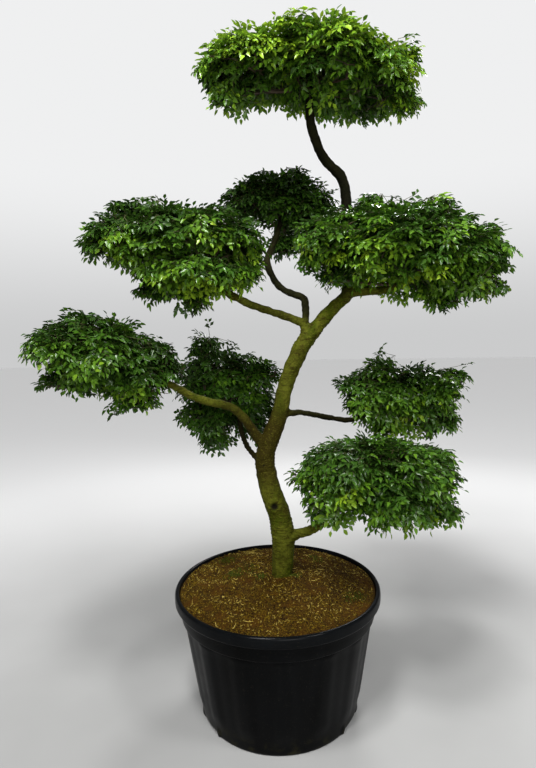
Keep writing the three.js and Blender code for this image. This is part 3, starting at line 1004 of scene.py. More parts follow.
@dataclass
class LeafyHead:
    """A clipped head of foliage: twigs that fork from a limb's end, sprays and leaves."""

    name: str
    seed: int
    limb_end: Point
    lumps: tuple[Lump, ...]
    # Painted light and shade: a shift of all the head's leaf tones, up for a head in the light,
    # down for one in shade.
    painted_light_shift: float = 0.0
    # Painted light and shade: how much lighter the leaves on a head's upper side are, darker where
    # it is below 0.
    painted_upper_light: float = -0.12
    habit: SprayHabit = SprayHabit()
    draw: np.random.Generator = field(init=False)

    def __post_init__(self) -> None:
        """Starts the head's own draws."""
        self.draw = np.random.default_rng(self.seed)

    def middle(self) -> Array:
        """The middle of all its lumps."""
        return np.mean([lump.middle() for lump in self.lumps], axis=0)

    def targets(self, per_lump: int, share: float, jitter: float) -> Array:
        """Spreads points through the head for twigs to grow to.

        Args:
            per_lump: How many there are in each lump.
            share: How far out they are.
            jitter: How much that varies.

        Returns:
            Rows of x, y, z.
        """
        found = []
        for lump in self.lumps:
            fullness = min(1.0, (lump.width / self.habit.full_width) ** 2)
            count = max(1, round(per_lump * fullness))
            ways = unit(spread_directions(count) + self.draw.normal(0, 0.15, (count, 3)))
            out = share + self.draw.uniform(-jitter, jitter, count)
            found.append(lump.surface(ways, out))
        return np.concatenate(found)

    def fork(self, sources: Array, ends: Array, steps: int) -> Array:
        """Grows a twig to each end from the source that is nearest to it.

        Args:
            sources: Places where twigs can start.
            ends: Where each twig ends.
            steps: How many points each has.

        Returns:
            The twigs' points.
        """
        away = np.linalg.norm(ends[:, None] - sources[None], axis=2)
        start = sources[np.argmin(away, axis=1)]
        reach = np.linalg.norm(ends - start, axis=1, keepdims=True)
        bend = self.draw.normal(0, 0.16, start.shape) + np.array([0, 0, 0.10])
        pull = (start + ends) / 2 + bend * reach
        t = np.broadcast_to(np.linspace(0, 1, steps), (len(ends), steps))
        return bezier(start, pull, ends, t)

    def grow_twigs(self, draft: MeshDraft, sheet: ToneSheet) -> Array:
        """Grows the bare twigs in three forkings.

        Args:
            draft: The mesh that takes them.
            sheet: The sheet of tones.

        Returns:
            Places on them where leafy stems can start.
        """
        sources = np.array([self.limb_end])
        places = []
        for forking in FORKINGS:
            ends = self.targets(forking.per_lump, forking.share, forking.jitter)
            paths = self.fork(sources, ends, forking.steps)
            radii = np.broadcast_to(np.linspace(*forking.radii, forking.steps), paths.shape[:2])
            self.add_tubes(draft, sheet, paths, radii, forking.sides, forking.age)
            sources = paths[:, 2:].reshape(-1, 3)
            places.append(sources)
        return np.concatenate(places[1:])

    def add_tubes(
        self,
        draft: MeshDraft,
        sheet: ToneSheet,
        paths: Array,
        radii: Array,
        sides: int,
        age: float,
    ) -> None:
        """Adds twigs to a mesh with a tone for each.

        Args:
            draft: The mesh.
            sheet: The sheet of tones.
            paths: The twigs' points.
            radii: Their radii.
            sides: How many sides they have.
            age: From 0 for old bark to 1 for green shoots.
        """
        points, faces = tubes(paths, radii, sides)
        shape = points.shape[:3]
        hue = np.broadcast_to(self.draw.uniform(0, 1, (shape[0], 1, 1)), shape)
        tones = np.stack([hue, np.full(shape, age)], axis=-1).reshape(-1, 2)
        places = sheet.places(tones, tube_places(shape))
        draft.add(points.reshape(-1, 3), [faces], **places)

    def reach_out(self, lump: Lump, way: Array, layer: Layer) -> Array:
        """How far out sprays end: tufted on the outside, where a few also stray.

        Args:
            lump: The lump that they stand on.
            way: Which way each points from the lump's middle.
            layer: Their layer.

        Returns:
            The share of the way out for each.
        """
        habit, count = self.habit, len(way)
        out = self.draw.uniform(*layer.ends, count)
        if layer.blade is Blade.PLAIN:
            return out
        tufts = Swell(habit.tuft_width, self.seed)
        out = out + habit.tuft_height * tufts.at(lump.surface(way, np.ones(count)))
        stray = self.draw.uniform(0, 1, count) < habit.stray_share
        far = self.draw.uniform(*habit.stray_reach, count)
        on_crown = way[:, 2] > habit.crown_slope
        return np.where(stray, np.where(on_crown, np.minimum(far, habit.crown_reach), far), out)

    def seat_sprays(self, places: Array, layer: Layer) -> Stems:
        """Spreads a layer's main stems over the head.

        Args:
            places: Where stems can start.
            layer: The layer that they are in.

        Returns:
            The main stems.
        """
        habit = self.habit
        kept = {"end": [], "facing": [], "out": []}
        for lump in self.lumps:
            count = int(lump.area() * layer.per_area)
            way = unit(spread_directions(count) + self.draw.normal(0, 0.05, (count, 3)))
            out = self.reach_out(lump, way, layer)
            end = lump.surface(way, out)
            hidden = np.zeros(count, dtype=bool)
            for other in self.lumps:
                if other is not lump:
                    hidden |= other.share_of(end) < layer.buried
            bare = np.clip(-habit.under_slope - way[:, 2], 0, 0.5) * habit.bare_below
            hidden |= self.draw.uniform(0, 1, count) < bare
            keep = ~hidden
            kept["end"].append(end[keep])
            kept["facing"].append(lump.facing(way)[keep])
            kept["out"].append(out[keep])
        end, facing, out = (np.concatenate(parts) for parts in kept.values())
        count = len(end)
        flat = unit((end - self.middle()) * np.array([1, 1, 0.15]))
        steep = np.clip(1 - facing[:, 2:3], 0, 1.4)
        hang = 0.34 * steep + 0.8 * np.clip(out[:, None] - 1, 0, 0.2) / 0.14 * (steep > 0.8)
        heading = 0.55 * facing + 0.75 * flat + DOWN * hang
        heading = unit(heading + self.draw.normal(0, 0.26, heading.shape))
        up = facing * 0.5 + UP * 0.8 + self.draw.normal(0, 0.22, heading.shape)
        length = self.draw.uniform(*habit.length, (count, 1))
        pull = end - heading * length + up * 0.012
        away = np.linalg.norm(pull[:, None] - places[None], axis=2)
        start = places[np.argmin(away, axis=1)]
        deep = np.clip((out - 0.5) / 0.5, 0, 1)
        clouds = Swell(habit.cloud_width, self.seed + 1).at(end)
        # Tones: partly younger growth further out, partly painted shade deep inside the head; the
        # clouds vary at random.
        age = habit.base_age + habit.outer_age_and_light * deep + habit.cloud_age * clouds
        # Painted light and shade: the upper side made lighter or darker.
        age = age + self.painted_upper_light * facing[:, 2]
        # Painted light and shade: the whole head made lighter or darker.
        age = age + self.painted_light_shift + self.draw.normal(0, 0.11, count)
        return Stems(start, pull, end, up, age, self.draw.uniform(0, 1, count))

    def fan_out(self, main: Stems) -> Stems:
        """Grows the side stems of each spray, to the left and right in its own plane."""
        habit = self.habit
        places, shares = np.array(habit.side_places), np.array(habit.side_shares)
        count, each = len(main.end), len(places)
        t = np.broadcast_to(places, (count, each)) + self.draw.normal(0, 0.02, (count, each))
        start, along = main.at(t), main.heading(t)
        up = square_to(np.broadcast_to(main.up[:, None], along.shape), along)
        side = np.cross(along, up)
        ranks = np.where(np.arange(each) % 2 == 0, 1.0, -1.0)
        ranks = ranks * np.where(self.draw.uniform(0, 1, (count, 1)) < 0.5, 1.0, -1.0)
        angle = np.radians(self.draw.uniform(*habit.side_angle, (count, each))) * ranks
        way = along * np.cos(angle)[..., None] + side * np.sin(angle)[..., None]
        length = self.draw.uniform(0.85, 1.15, (count, each)) * shares * np.mean(habit.length)
        droop = (DOWN * 0.10 - up * 0.06) * length[..., None]
        end = start + way * length[..., None] + droop
        pull = start + (along * 0.35 + way * 0.30) * length[..., None]
        flat = (-1, 3)
        return Stems(
            start.reshape(flat),
            pull.reshape(flat),
            end.reshape(flat),
            (up + self.draw.normal(0, 0.14, up.shape)).reshape(flat),
            np.repeat(main.age, each) + self.draw.normal(0, 0.03, count * each),
            np.repeat(main.hue, each),
        )

    def add_stems(self, draft: MeshDraft, sheet: ToneSheet, stems: Stems, steps: int) -> None:
        """Adds the leafy stems' own bark to the mesh of twigs."""
        t = np.broadcast_to(np.linspace(0, 1, steps), (len(stems.end), steps))
        radii = np.broadcast_to(np.linspace(*self.habit.stem_radius, steps), t.shape)
        self.add_tubes(draft, sheet, stems.at(t), radii, 3, self.habit.stem_age)

    def add_leaves(
        self,
        draft: MeshDraft,
        sheet: ToneSheet,
        stems: Stems,
        leaves: int,
        spacing: float,
        blade: Blade,
    ) -> None:
        """Sets leaves in two ranks along each stem, with one at its end.

        Args:
            draft: The mesh that takes them.
            sheet: The sheet of tones.
            stems: The stems.
            leaves: How many there are on a stem.
            spacing: How far apart they are.
            blade: How finely they are made.
        """
        count, order = len(stems.end), np.arange(leaves)
        gaps = order * spacing * self.draw.uniform(0.9, 1.12, (count, leaves))
        t = np.clip(1 - gaps / stems.reach()[:, None], 0.04, 1)
        base, along = stems.at(t), stems.heading(t)
        up = square_to(np.broadcast_to(stems.up[:, None], along.shape), along)
        side = np.cross(along, up)
        rank = np.where(order % 2 == 0, 1.0, -1.0) * np.ones((count, 1))
        angle = np.radians(self.draw.normal(*self.habit.leaf_angle, rank.shape)) * rank
        angle[:, 0] = self.draw.normal(0, 0.12, count)
        axis = along * np.cos(angle)[..., None] + side * np.sin(angle)[..., None]
        droop = self.draw.uniform(0.0, 0.22, rank.shape)[..., None]
        axis = unit(axis + DOWN * droop + self.draw.normal(0, 0.07, axis.shape))
        face = square_to(up + self.draw.normal(0, 0.30, up.shape), axis)
        swell = 0.74 + 0.36 * np.sin(math.pi * (order + 1.2) / (leaves + 1.5))
        length = self.habit.leaf_length * swell * self.draw.uniform(0.86, 1.14, rank.shape)
        fresh = self.habit.tip_age * (1 - order / leaves) ** 1.5
        age = stems.age[:, None] + fresh + self.draw.normal(0, 0.08, rank.shape)
        hue = stems.hue[:, None] * 0.6 + self.draw.uniform(0, 0.4, rank.shape)
        tones = np.stack([hue, np.clip(age, 0, 0.999)], axis=-1).reshape(-1, 2)
        flat, form = (-1, 3), LEAF_FORMS[blade]
        points, faces, inside = form.lay(
            base.reshape(flat), axis.reshape(flat), face.reshape(flat), length.ravel(), self.draw
        )
        each = np.repeat(tones, len(form.points), axis=0)
        draft.add(points, [faces], **{LEAF_MAP: inside}, **sheet.places(each, inside))

    def build(self, leaf: Material, twig: Material) -> list[Piece]:
        """Builds the head's leaves and twigs.

        Args:
            leaf: The leaves' finish.
            twig: The twigs' finish.

        Returns:
            The pieces.
        """
        sheet, habit = ToneSheet(), self.habit
        wood, green = MeshDraft(), MeshDraft()
        places = self.grow_twigs(wood, sheet)
        for layer in LAYERS:
            main = self.seat_sprays(places, layer)
            sides = self.fan_out(main)
            self.add_stems(wood, sheet, main, layer.main_steps)
            self.add_stems(wood, sheet, sides, habit.side_steps)
            kinds = (
                (main, habit.main_leaves, habit.main_spacing),
                (sides, habit.side_leaves, habit.side_spacing),
            )
            for stems, leaves, spacing in kinds:
                self.add_leaves(green, sheet, stems, leaves, spacing, layer.blade)
        foliage = green.make(f"leaves_{self.name}", leaf)
        twigs = wood.make(f"twigs_{self.name}", twig)
        for piece in (foliage, twigs):
            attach(piece, ROOT)
        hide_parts(f"foliage_{self.name}")
        return [foliage, twigs]


HEADS = (
    LeafyHead(
        name="top",
        seed=101,
        limb_end=(0.155, 0.010, 2.235),
        lumps=(
            Lump(-0.071, -0.030, 2.261, 0.168, 0.200, 0.127, 0.072),
            Lump(0.130, 0.020, 2.308, 0.243, 0.290, 0.070, 0.095),
            Lump(0.365, 0.010, 2.211, 0.160, 0.230, 0.135, 0.061),
            Lump(0.225, -0.040, 2.252, 0.218, 0.250, 0.087, 0.115),
            Lump(-0.162, -0.040, 2.172, 0.042, 0.060, 0.041, 0.028),
            Lump(-0.062, 0.000, 2.345, 0.085, 0.120, 0.045, 0.048),
            Lump(0.490, 0.010, 2.310, 0.045, 0.050, 0.042, 0.042),
            Lump(0.507, 0.010, 2.165, 0.045, 0.054, 0.035, 0.042),
            Lump(-0.178, -0.010, 2.290, 0.055, 0.070, 0.050, 0.055),
        ),
        painted_light_shift=0.23,
        painted_upper_light=0.13,
    ),
    LeafyHead(
        name="left",
        seed=202,
        limb_end=(-0.288, -0.052, 1.626),
        lumps=(
            Lump(-0.485, -0.070, 1.700, 0.146, 0.165, 0.117, 0.083),
            Lump(-0.358, -0.040, 1.684, 0.192, 0.240, 0.146, 0.138),
            Lump(-0.206, -0.060, 1.673, 0.198, 0.190, 0.146, 0.076),
            Lump(-0.252, -0.075, 1.568, 0.190, 0.210, 0.100, 0.074),
            Lump(-0.488, -0.050, 1.800, 0.052, 0.070, 0.034, 0.041),
            Lump(-0.612, -0.070, 1.684, 0.044, 0.053, 0.041, 0.041),
            Lump(-0.247, -0.080, 1.488, 0.038, 0.045, 0.041, 0.045),
            Lump(-0.056, -0.060, 1.579, 0.035, 0.045, 0.055, 0.055),
            Lump(-0.420, -0.070, 1.525, 0.062, 0.068, 0.041, 0.028),
        ),
        painted_light_shift=-0.08,
        painted_upper_light=-0.28,
    ),
    LeafyHead(
        name="centre_back",
        seed=303,
        limb_end=(0.056, 0.268, 1.862),
        lumps=(
            Lump(-0.034, 0.290, 1.896, 0.165, 0.145, 0.120, 0.065),
            Lump(0.155, 0.300, 1.841, 0.106, 0.150, 0.108, 0.073),
            Lump(0.073, 0.295, 1.900, 0.204, 0.145, 0.131, 0.112),
            Lump(-0.026, 0.300, 2.000, 0.065, 0.072, 0.041, 0.049),
            Lump(0.109, 0.300, 2.012, 0.061, 0.067, 0.041, 0.049),
            Lump(0.057, 0.240, 1.725, 0.050, 0.053, 0.044, 0.040),
        ),
        painted_light_shift=-0.32,
        painted_upper_light=0.0,
    ),
    LeafyHead(
        name="right",
        seed=404,
        limb_end=(0.447, -0.018, 1.545),
        lumps=(
            Lump(0.288, -0.020, 1.697, 0.208, 0.185, 0.127, 0.118),
            Lump(0.446, -0.055, 1.649, 0.280, 0.280, 0.158, 0.150),
            Lump(0.643, -0.045, 1.603, 0.184, 0.220, 0.166, 0.147),
            Lump(0.515, -0.075, 1.595, 0.120, 0.220, 0.076, 0.122),
            Lump(0.341, -0.020, 1.812, 0.049, 0.070, 0.035, 0.035),
            Lump(0.591, -0.040, 1.797, 0.052, 0.070, 0.035, 0.042),
            Lump(0.790, -0.030, 1.633, 0.045, 0.054, 0.049, 0.049),
            Lump(0.760, -0.060, 1.523, 0.049, 0.053, 0.049, 0.042),
            Lump(0.620, -0.080, 1.470, 0.038, 0.045, 0.041, 0.041),
            Lump(0.140, -0.030, 1.622, 0.050, 0.055, 0.046, 0.046),
            Lump(0.206, -0.030, 1.569, 0.052, 0.055, 0.046, 0.044),
        ),
        painted_light_shift=-0.04,
        painted_upper_light=-0.22,
    ),
    LeafyHead(
        name="lower_left",
        seed=505,
        limb_end=(-0.410, -0.084, 1.236),
        lumps=(
            Lump(-0.685, -0.110, 1.335, 0.153, 0.175, 0.120, 0.077),
            Lump(-0.592, -0.090, 1.300, 0.193, 0.215, 0.148, 0.122),
            Lump(-0.452, -0.080, 1.229, 0.123, 0.140, 0.125, 0.093),
            Lump(-0.682, -0.100, 1.422, 0.061, 0.067, 0.034, 0.041),
            Lump(-0.689, -0.110, 1.225, 0.096, 0.105, 0.036, 0.034),
            Lump(-0.458, -0.090, 1.145, 0.062, 0.069, 0.031, 0.042),
            Lump(-0.376, -0.080, 1.310, 0.048, 0.053, 0.048, 0.048),
            Lump(-0.340, -0.070, 1.255, 0.040, 0.050, 0.042, 0.042),
        ),
        painted_light_shift=-0.12,
        painted_upper_light=-0.25,
    ),
    LeafyHead(
        name="lower_back",
        seed=606,
        limb_end=(-0.140, 0.195, 1.150),
        lumps=(
            Lump(-0.205, 0.232, 1.171, 0.196, 0.150, 0.158, 0.134),
            Lump(-0.070, 0.250, 1.080, 0.103, 0.155, 0.084, 0.158),
            Lump(-0.252, 0.240, 1.058, 0.126, 0.115, 0.119, 0.097),
            Lump(-0.284, 0.200, 1.320, 0.048, 0.053, 0.048, 0.048),
            Lump(-0.258, 0.210, 0.950, 0.042, 0.050, 0.049, 0.045),
            Lump(-0.018, 0.150, 1.220, 0.046, 0.051, 0.062, 0.062),
        ),
        painted_light_shift=-0.22,
        painted_upper_light=0.0,
    ),
    LeafyHead(
        name="right_upper",
        seed=707,
        limb_end=(0.398, 0.131, 1.084),
        lumps=(
            Lump(0.426, 0.135, 1.125, 0.158, 0.150, 0.144, 0.146),
            Lump(0.573, 0.165, 1.108, 0.147, 0.165, 0.146, 0.168),
            Lump(0.641, 0.145, 1.138, 0.094, 0.150, 0.098, 0.088),
            Lump(0.393, 0.130, 1.240, 0.046, 0.051, 0.035, 0.039),
            Lump(0.445, 0.120, 1.010, 0.080, 0.080, 0.036, 0.044),
            Lump(0.720, 0.140, 1.190, 0.043, 0.047, 0.039, 0.047),
            Lump(0.683, 0.150, 1.021, 0.052, 0.061, 0.055, 0.060),
            Lump(0.281, 0.110, 1.168, 0.046, 0.051, 0.046, 0.046),
        ),
        painted_light_shift=-0.02,
        painted_upper_light=-0.18,
    ),
    LeafyHead(
        name="right_lower",
        seed=808,
        limb_end=(0.218, -0.080, 0.775),
        lumps=(
            Lump(0.196, -0.095, 0.863, 0.118, 0.175, 0.129, 0.158),
            Lump(0.386, -0.130, 0.839, 0.166, 0.225, 0.180, 0.154),
            Lump(0.515, -0.110, 0.857, 0.118, 0.175, 0.123, 0.147),
            Lump(0.275, -0.150, 0.908, 0.165, 0.170, 0.117, 0.132),
            Lump(0.093, -0.090, 0.864, 0.046, 0.050, 0.042, 0.042),
            Lump(0.146, -0.100, 0.752, 0.046, 0.050, 0.042, 0.042),
            Lump(0.585, -0.110, 0.922, 0.052, 0.057, 0.042, 0.042),
            Lump(0.600, -0.110, 0.745, 0.050, 0.058, 0.042, 0.042),
        ),
        painted_light_shift=-0.04,
        painted_upper_light=-0.26,
    ),
)


# The wood


@dataclass(frozen=True)
class Limb:
    """A limb by its stations, each x, y, z and radius, and how dark its bark is."""

    name: str
    dark: float
    stations: tuple[tuple[float, float, float, float], ...]


@dataclass(frozen=True)
class Knot:
    """A healed scar where a twig was cut away."""

    place: Point
    radius: float
    height: float


LIMBS = (
    Limb("trunk", 0.0, (
        (0.016, 0.026, 0.330, 0.034), (0.018, 0.025, 0.420, 0.039), (0.019, 0.024, 0.474, 0.038),
        (0.025, 0.020, 0.560, 0.040), (0.026, 0.017, 0.625, 0.042), (0.015, 0.012, 0.702, 0.040),
        (-0.002, 0.009, 0.757, 0.039), (-0.022, 0.006, 0.822, 0.0375),
        (-0.035, 0.003, 0.900, 0.0345), (-0.029, 0.003, 0.960, 0.0335),
        (-0.004, 0.003, 1.022, 0.0315), (0.024, 0.003, 1.095, 0.0285),
        (0.039, 0.000, 1.171, 0.027), (0.063, -0.002, 1.240, 0.0278),
        (0.077, -0.002, 1.272, 0.0282), (0.106, -0.001, 1.331, 0.029),
        (0.130, 0.000, 1.363, 0.0285), (0.153, 0.000, 1.390, 0.026),
        (0.177, 0.001, 1.419, 0.0235), (0.201, 0.002, 1.445, 0.0225),
        (0.232, 0.004, 1.476, 0.021), (0.265, 0.006, 1.505, 0.020),
        (0.285, 0.008, 1.532, 0.0185),
    )),
    Limb("leader", 0.95, (
        (0.266, 0.006, 1.520, 0.018), (0.287, 0.009, 1.545, 0.018),
        (0.295, 0.013, 1.585, 0.0175), (0.291, 0.020, 1.650, 0.017),
        (0.279, 0.030, 1.765, 0.0165), (0.277, 0.034, 1.850, 0.017),
        (0.271, 0.036, 1.905, 0.017), (0.255, 0.037, 1.945, 0.017),
        (0.228, 0.037, 1.970, 0.016), (0.200, 0.036, 2.002, 0.0158),
        (0.174, 0.034, 2.052, 0.0154), (0.154, 0.028, 2.115, 0.0152),
        (0.148, 0.020, 2.175, 0.014), (0.155, 0.010, 2.235, 0.012),
    )),
    Limb("right_stub", 0.0, (
        (0.262, 0.007, 1.512, 0.016), (0.305, 0.006, 1.522, 0.015),
        (0.350, 0.000, 1.524, 0.014), (0.400, -0.009, 1.526, 0.012),
        (0.447, -0.018, 1.545, 0.0105),
    )),
    Limb("left_limb", 0.12, (
        (0.112, -0.001, 1.351, 0.017), (0.118, -0.002, 1.383, 0.015),
        (0.114, -0.004, 1.407, 0.0138), (0.098, -0.005, 1.421, 0.0134),
        (0.060, -0.007, 1.437, 0.013), (0.013, -0.011, 1.453, 0.0126),
        (-0.047, -0.020, 1.473, 0.0125), (-0.094, -0.027, 1.493, 0.0123),
        (-0.140, -0.033, 1.516, 0.0125), (-0.184, -0.039, 1.544, 0.012),
        (-0.237, -0.046, 1.584, 0.0108), (-0.288, -0.052, 1.626, 0.0094),
    )),
    Limb("back_limb", 0.92, (
        (0.117, 0.004, 1.362, 0.0126), (0.121, 0.010, 1.409, 0.0122),
        (0.123, 0.020, 1.460, 0.0122), (0.123, 0.034, 1.495, 0.0122),
        (0.113, 0.046, 1.512, 0.012), (0.089, 0.060, 1.523, 0.0118),
        (0.053, 0.080, 1.540, 0.0118), (0.029, 0.096, 1.560, 0.0118),
        (0.011, 0.112, 1.588, 0.0118), (-0.012, 0.136, 1.646, 0.0116),
        (-0.007, 0.155, 1.681, 0.0112), (0.010, 0.178, 1.723, 0.0105),
        (0.027, 0.205, 1.767, 0.0099), (0.043, 0.240, 1.822, 0.009),
        (0.056, 0.268, 1.862, 0.008),
    )),
    Limb("back_twig", 0.9, (
        (-0.008, 0.136, 1.645, 0.007), (-0.040, 0.140, 1.657, 0.0056),
        (-0.078, 0.143, 1.667, 0.0036),
    )),
    Limb("lower_left_limb", 0.15, (
        (-0.032, 0.003, 0.962, 0.021), (-0.058, 0.000, 0.999, 0.0174),
        (-0.089, -0.010, 1.049, 0.0153), (-0.114, -0.019, 1.084, 0.0147),
        (-0.150, -0.030, 1.119, 0.0142), (-0.192, -0.040, 1.133, 0.0132),
        (-0.240, -0.051, 1.146, 0.013), (-0.293, -0.062, 1.169, 0.0123),
        (-0.351, -0.075, 1.204, 0.0108), (-0.410, -0.084, 1.236, 0.0093),
    )),
    Limb("lower_back_limb", 0.75, (
        (-0.042, 0.004, 0.906, 0.011), (-0.070, 0.022, 0.927, 0.0093),
        (-0.100, 0.043, 0.960, 0.0088), (-0.123, 0.075, 1.007, 0.0088),
        (-0.130, 0.110, 1.058, 0.0087), (-0.131, 0.160, 1.117, 0.0082),
        (-0.140, 0.195, 1.150, 0.0076),
    )),
    Limb("right_upper_limb", 0.8, (
        (0.026, 0.002, 1.087, 0.0128), (0.059, 0.008, 1.089, 0.0112),
        (0.110, 0.029, 1.086, 0.0096), (0.184, 0.066, 1.066, 0.0094),
        (0.240, 0.090, 1.052, 0.0092), (0.290, 0.107, 1.044, 0.0088),
        (0.345, 0.120, 1.055, 0.0082), (0.398, 0.131, 1.084, 0.0074),
    )),
    Limb("right_lower_limb", 0.15, (
        (0.026, 0.016, 0.603, 0.025), (0.051, 0.010, 0.620, 0.0206),
        (0.079, -0.004, 0.637, 0.0174), (0.122, -0.026, 0.660, 0.0158),
        (0.154, -0.047, 0.687, 0.0152), (0.186, -0.065, 0.730, 0.0134),
        (0.218, -0.080, 0.775, 0.011),
    )),
)

KNOTS = (
    Knot((-0.005, -0.030, 0.752), 0.020, 0.0055),
    Knot((0.060, -0.018, 0.660), 0.010, 0.0050),
    Knot((-0.040, -0.030, 0.905), 0.007, 0.002),
    Knot((0.075, -0.026, 1.260), 0.007, 0.002),
    Knot((0.010, -0.022, 1.060), 0.008, 0.002),
    Knot((0.045, 0.050, 0.800), 0.010, 0.003),
    Knot((-0.050, 0.034, 0.985), 0.009, 0.003),
)


@dataclass
class Wood:
    """The trunk and limbs as one grown skin with knots, wrinkles and a rough bark."""

    limbs: tuple[Limb, ...] = LIMBS
    knots: tuple[Knot, ...] = KNOTS
    sides: int = 26
    step: float = 0.012
    grain: float = 0.0045
    allowance: float = 0.0014
    wrinkle_spacing: float = 0.0118
    wrinkle_depth: float = 0.0012
    wrinkled: tuple[tuple[float, float], ...] = ((0.56, 0.74), (0.86, 1.02), (1.30, 1.43))
    wrinkle_fade: float = 0.04
    swells: tuple[tuple[float, float, int], ...] = ((0.0011, 0.045, 5), (0.0006, 0.016, 6))
    dark_fade: float = 0.008
    soften_rounds: int = 3

    def rough_form(self) -> Piece:
        """Makes the limbs as closed tubes that run into each other."""
        draft = MeshDraft()
        for limb in self.limbs:
            rows = smooth_stations(np.array(limb.stations), self.step)
            points, faces = tubes(rows[None, :, :3], rows[None, :, 3] + self.allowance, self.sides)
            points = points.reshape(-1, 3)
            ends = np.stack([rows[0, :3], rows[-1, :3]])
            fans = end_fans(len(points), self.sides)
            draft.add(np.concatenate([points, ends]), [faces, *fans])
        return draft.make("rough_wood", bpy.data.materials.new("rough_wood"))

    def grown_skin(self) -> bpy.types.Mesh:
        """Grows one skin over the rough form and smooths it."""
        rough = self.rough_form()
        remesh = rough.modifiers.new("skin", "REMESH")
        remesh.mode = "VOXEL"
        remesh.voxel_size = self.grain
        remesh.use_smooth_shade = True
        soften = rough.modifiers.new("soften", "SMOOTH")
        soften.iterations = self.soften_rounds
        soften.factor = 0.5
        sight = rough.evaluated_get(bpy.context.evaluated_depsgraph_get())
        skin = bpy.data.meshes.new_from_object(sight)
        bpy.data.objects.remove(rough)
        return skin

    def darkness(self, points: Array) -> Array:
        """How dark the bark is at each point, from the limbs that are nearest to it."""
        total, weights = np.zeros(len(points)), np.zeros(len(points))
        for limb in self.limbs:
            rows = smooth_stations(np.array(limb.stations), self.step)
            nearest = np.full(len(points), np.inf)
            for x, y, z, radius in rows:
                away = np.linalg.norm(points - np.array([x, y, z]), axis=1) - radius
                nearest = np.minimum(nearest, away)
            weight = np.exp(-np.clip(nearest, 0, None) / self.dark_fade)
            total += weight * limb.dark
            weights += weight
        return total / np.maximum(weights, 1e-9)

    def relief(self, points: Array) -> tuple[Array, Array]:
        """How far the bark stands out, and where it is scarred.

        Args:
            points: Places on the skin.

        Returns:
            The rise in metres, and how scarred it is from 0 to 1.
        """
        rise = rough_ground(points, self.swells)
        bend = 0.6 * Swell(0.05, 7).at(points)
        height, fade = points[:, 2], self.wrinkle_fade
        waves = np.sin(height / self.wrinkle_spacing * 2 * math.pi + bend * 3)
        mask = sum(
            eased(height, low, low + fade) * (1 - eased(height, high - fade, high))
            for low, high in self.wrinkled
        )
        rise = rise + self.wrinkle_depth * waves * mask
        scar = np.zeros(len(points))
        for knot in self.knots:
            away = np.linalg.norm(points - np.array(knot.place), axis=1) / knot.radius
            rise += knot.height * np.exp(-(((away - 0.9) / 0.45) ** 2))
            rise -= 0.6 * knot.height * np.exp(-((away / 0.5) ** 2))
            scar = np.maximum(scar, np.exp(-((away / 0.75) ** 2)))
        return rise, scar

    def build(self, bark: Material) -> Piece:
        """Builds the wood.

        Args:
            bark: Its finish.

        Returns:
            The piece.
        """
        skin = self.grown_skin()
        skin.name = "bark"
        count = len(skin.vertices)
        points = np.zeros(count * 3, np.float32)
        facing = np.zeros(count * 3, np.float32)
        skin.vertices.foreach_get("co", points)
        skin.vertices.foreach_get("normal", facing)
        points, facing = points.reshape(-1, 3).astype(float), facing.reshape(-1, 3)
        rise, scar = self.relief(points)
        dark = self.darkness(points)
        grown = points + facing * rise[:, None]
        skin.vertices.foreach_set("co", grown.astype(np.float32).ravel())
        for name, values in (("dark", dark), ("scar", scar)):
            layer = skin.attributes.new(name, "FLOAT", "POINT")
            layer.data.foreach_set("value", values.astype(np.float32))
        skin.materials.clear()
        skin.materials.append(bark)
        skin.polygons.foreach_set("use_smooth", np.ones(len(skin.polygons), dtype=bool))
        skin.update()
        piece = bpy.data.objects.new("bark", skin)
        bpy.context.scene.collection.objects.link(piece)
        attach(piece, ROOT)
        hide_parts("trunk_and_limbs")
        return piece


# The tub and what fills it


def degrees_off(degrees: Array, first: float, count: int) -> Array:
    """How many degrees each is off the nearest of count marks, spaced evenly from first."""
    spacing = 360 / count
    return np.abs((degrees - first + spacing / 2) % spacing - spacing / 2)


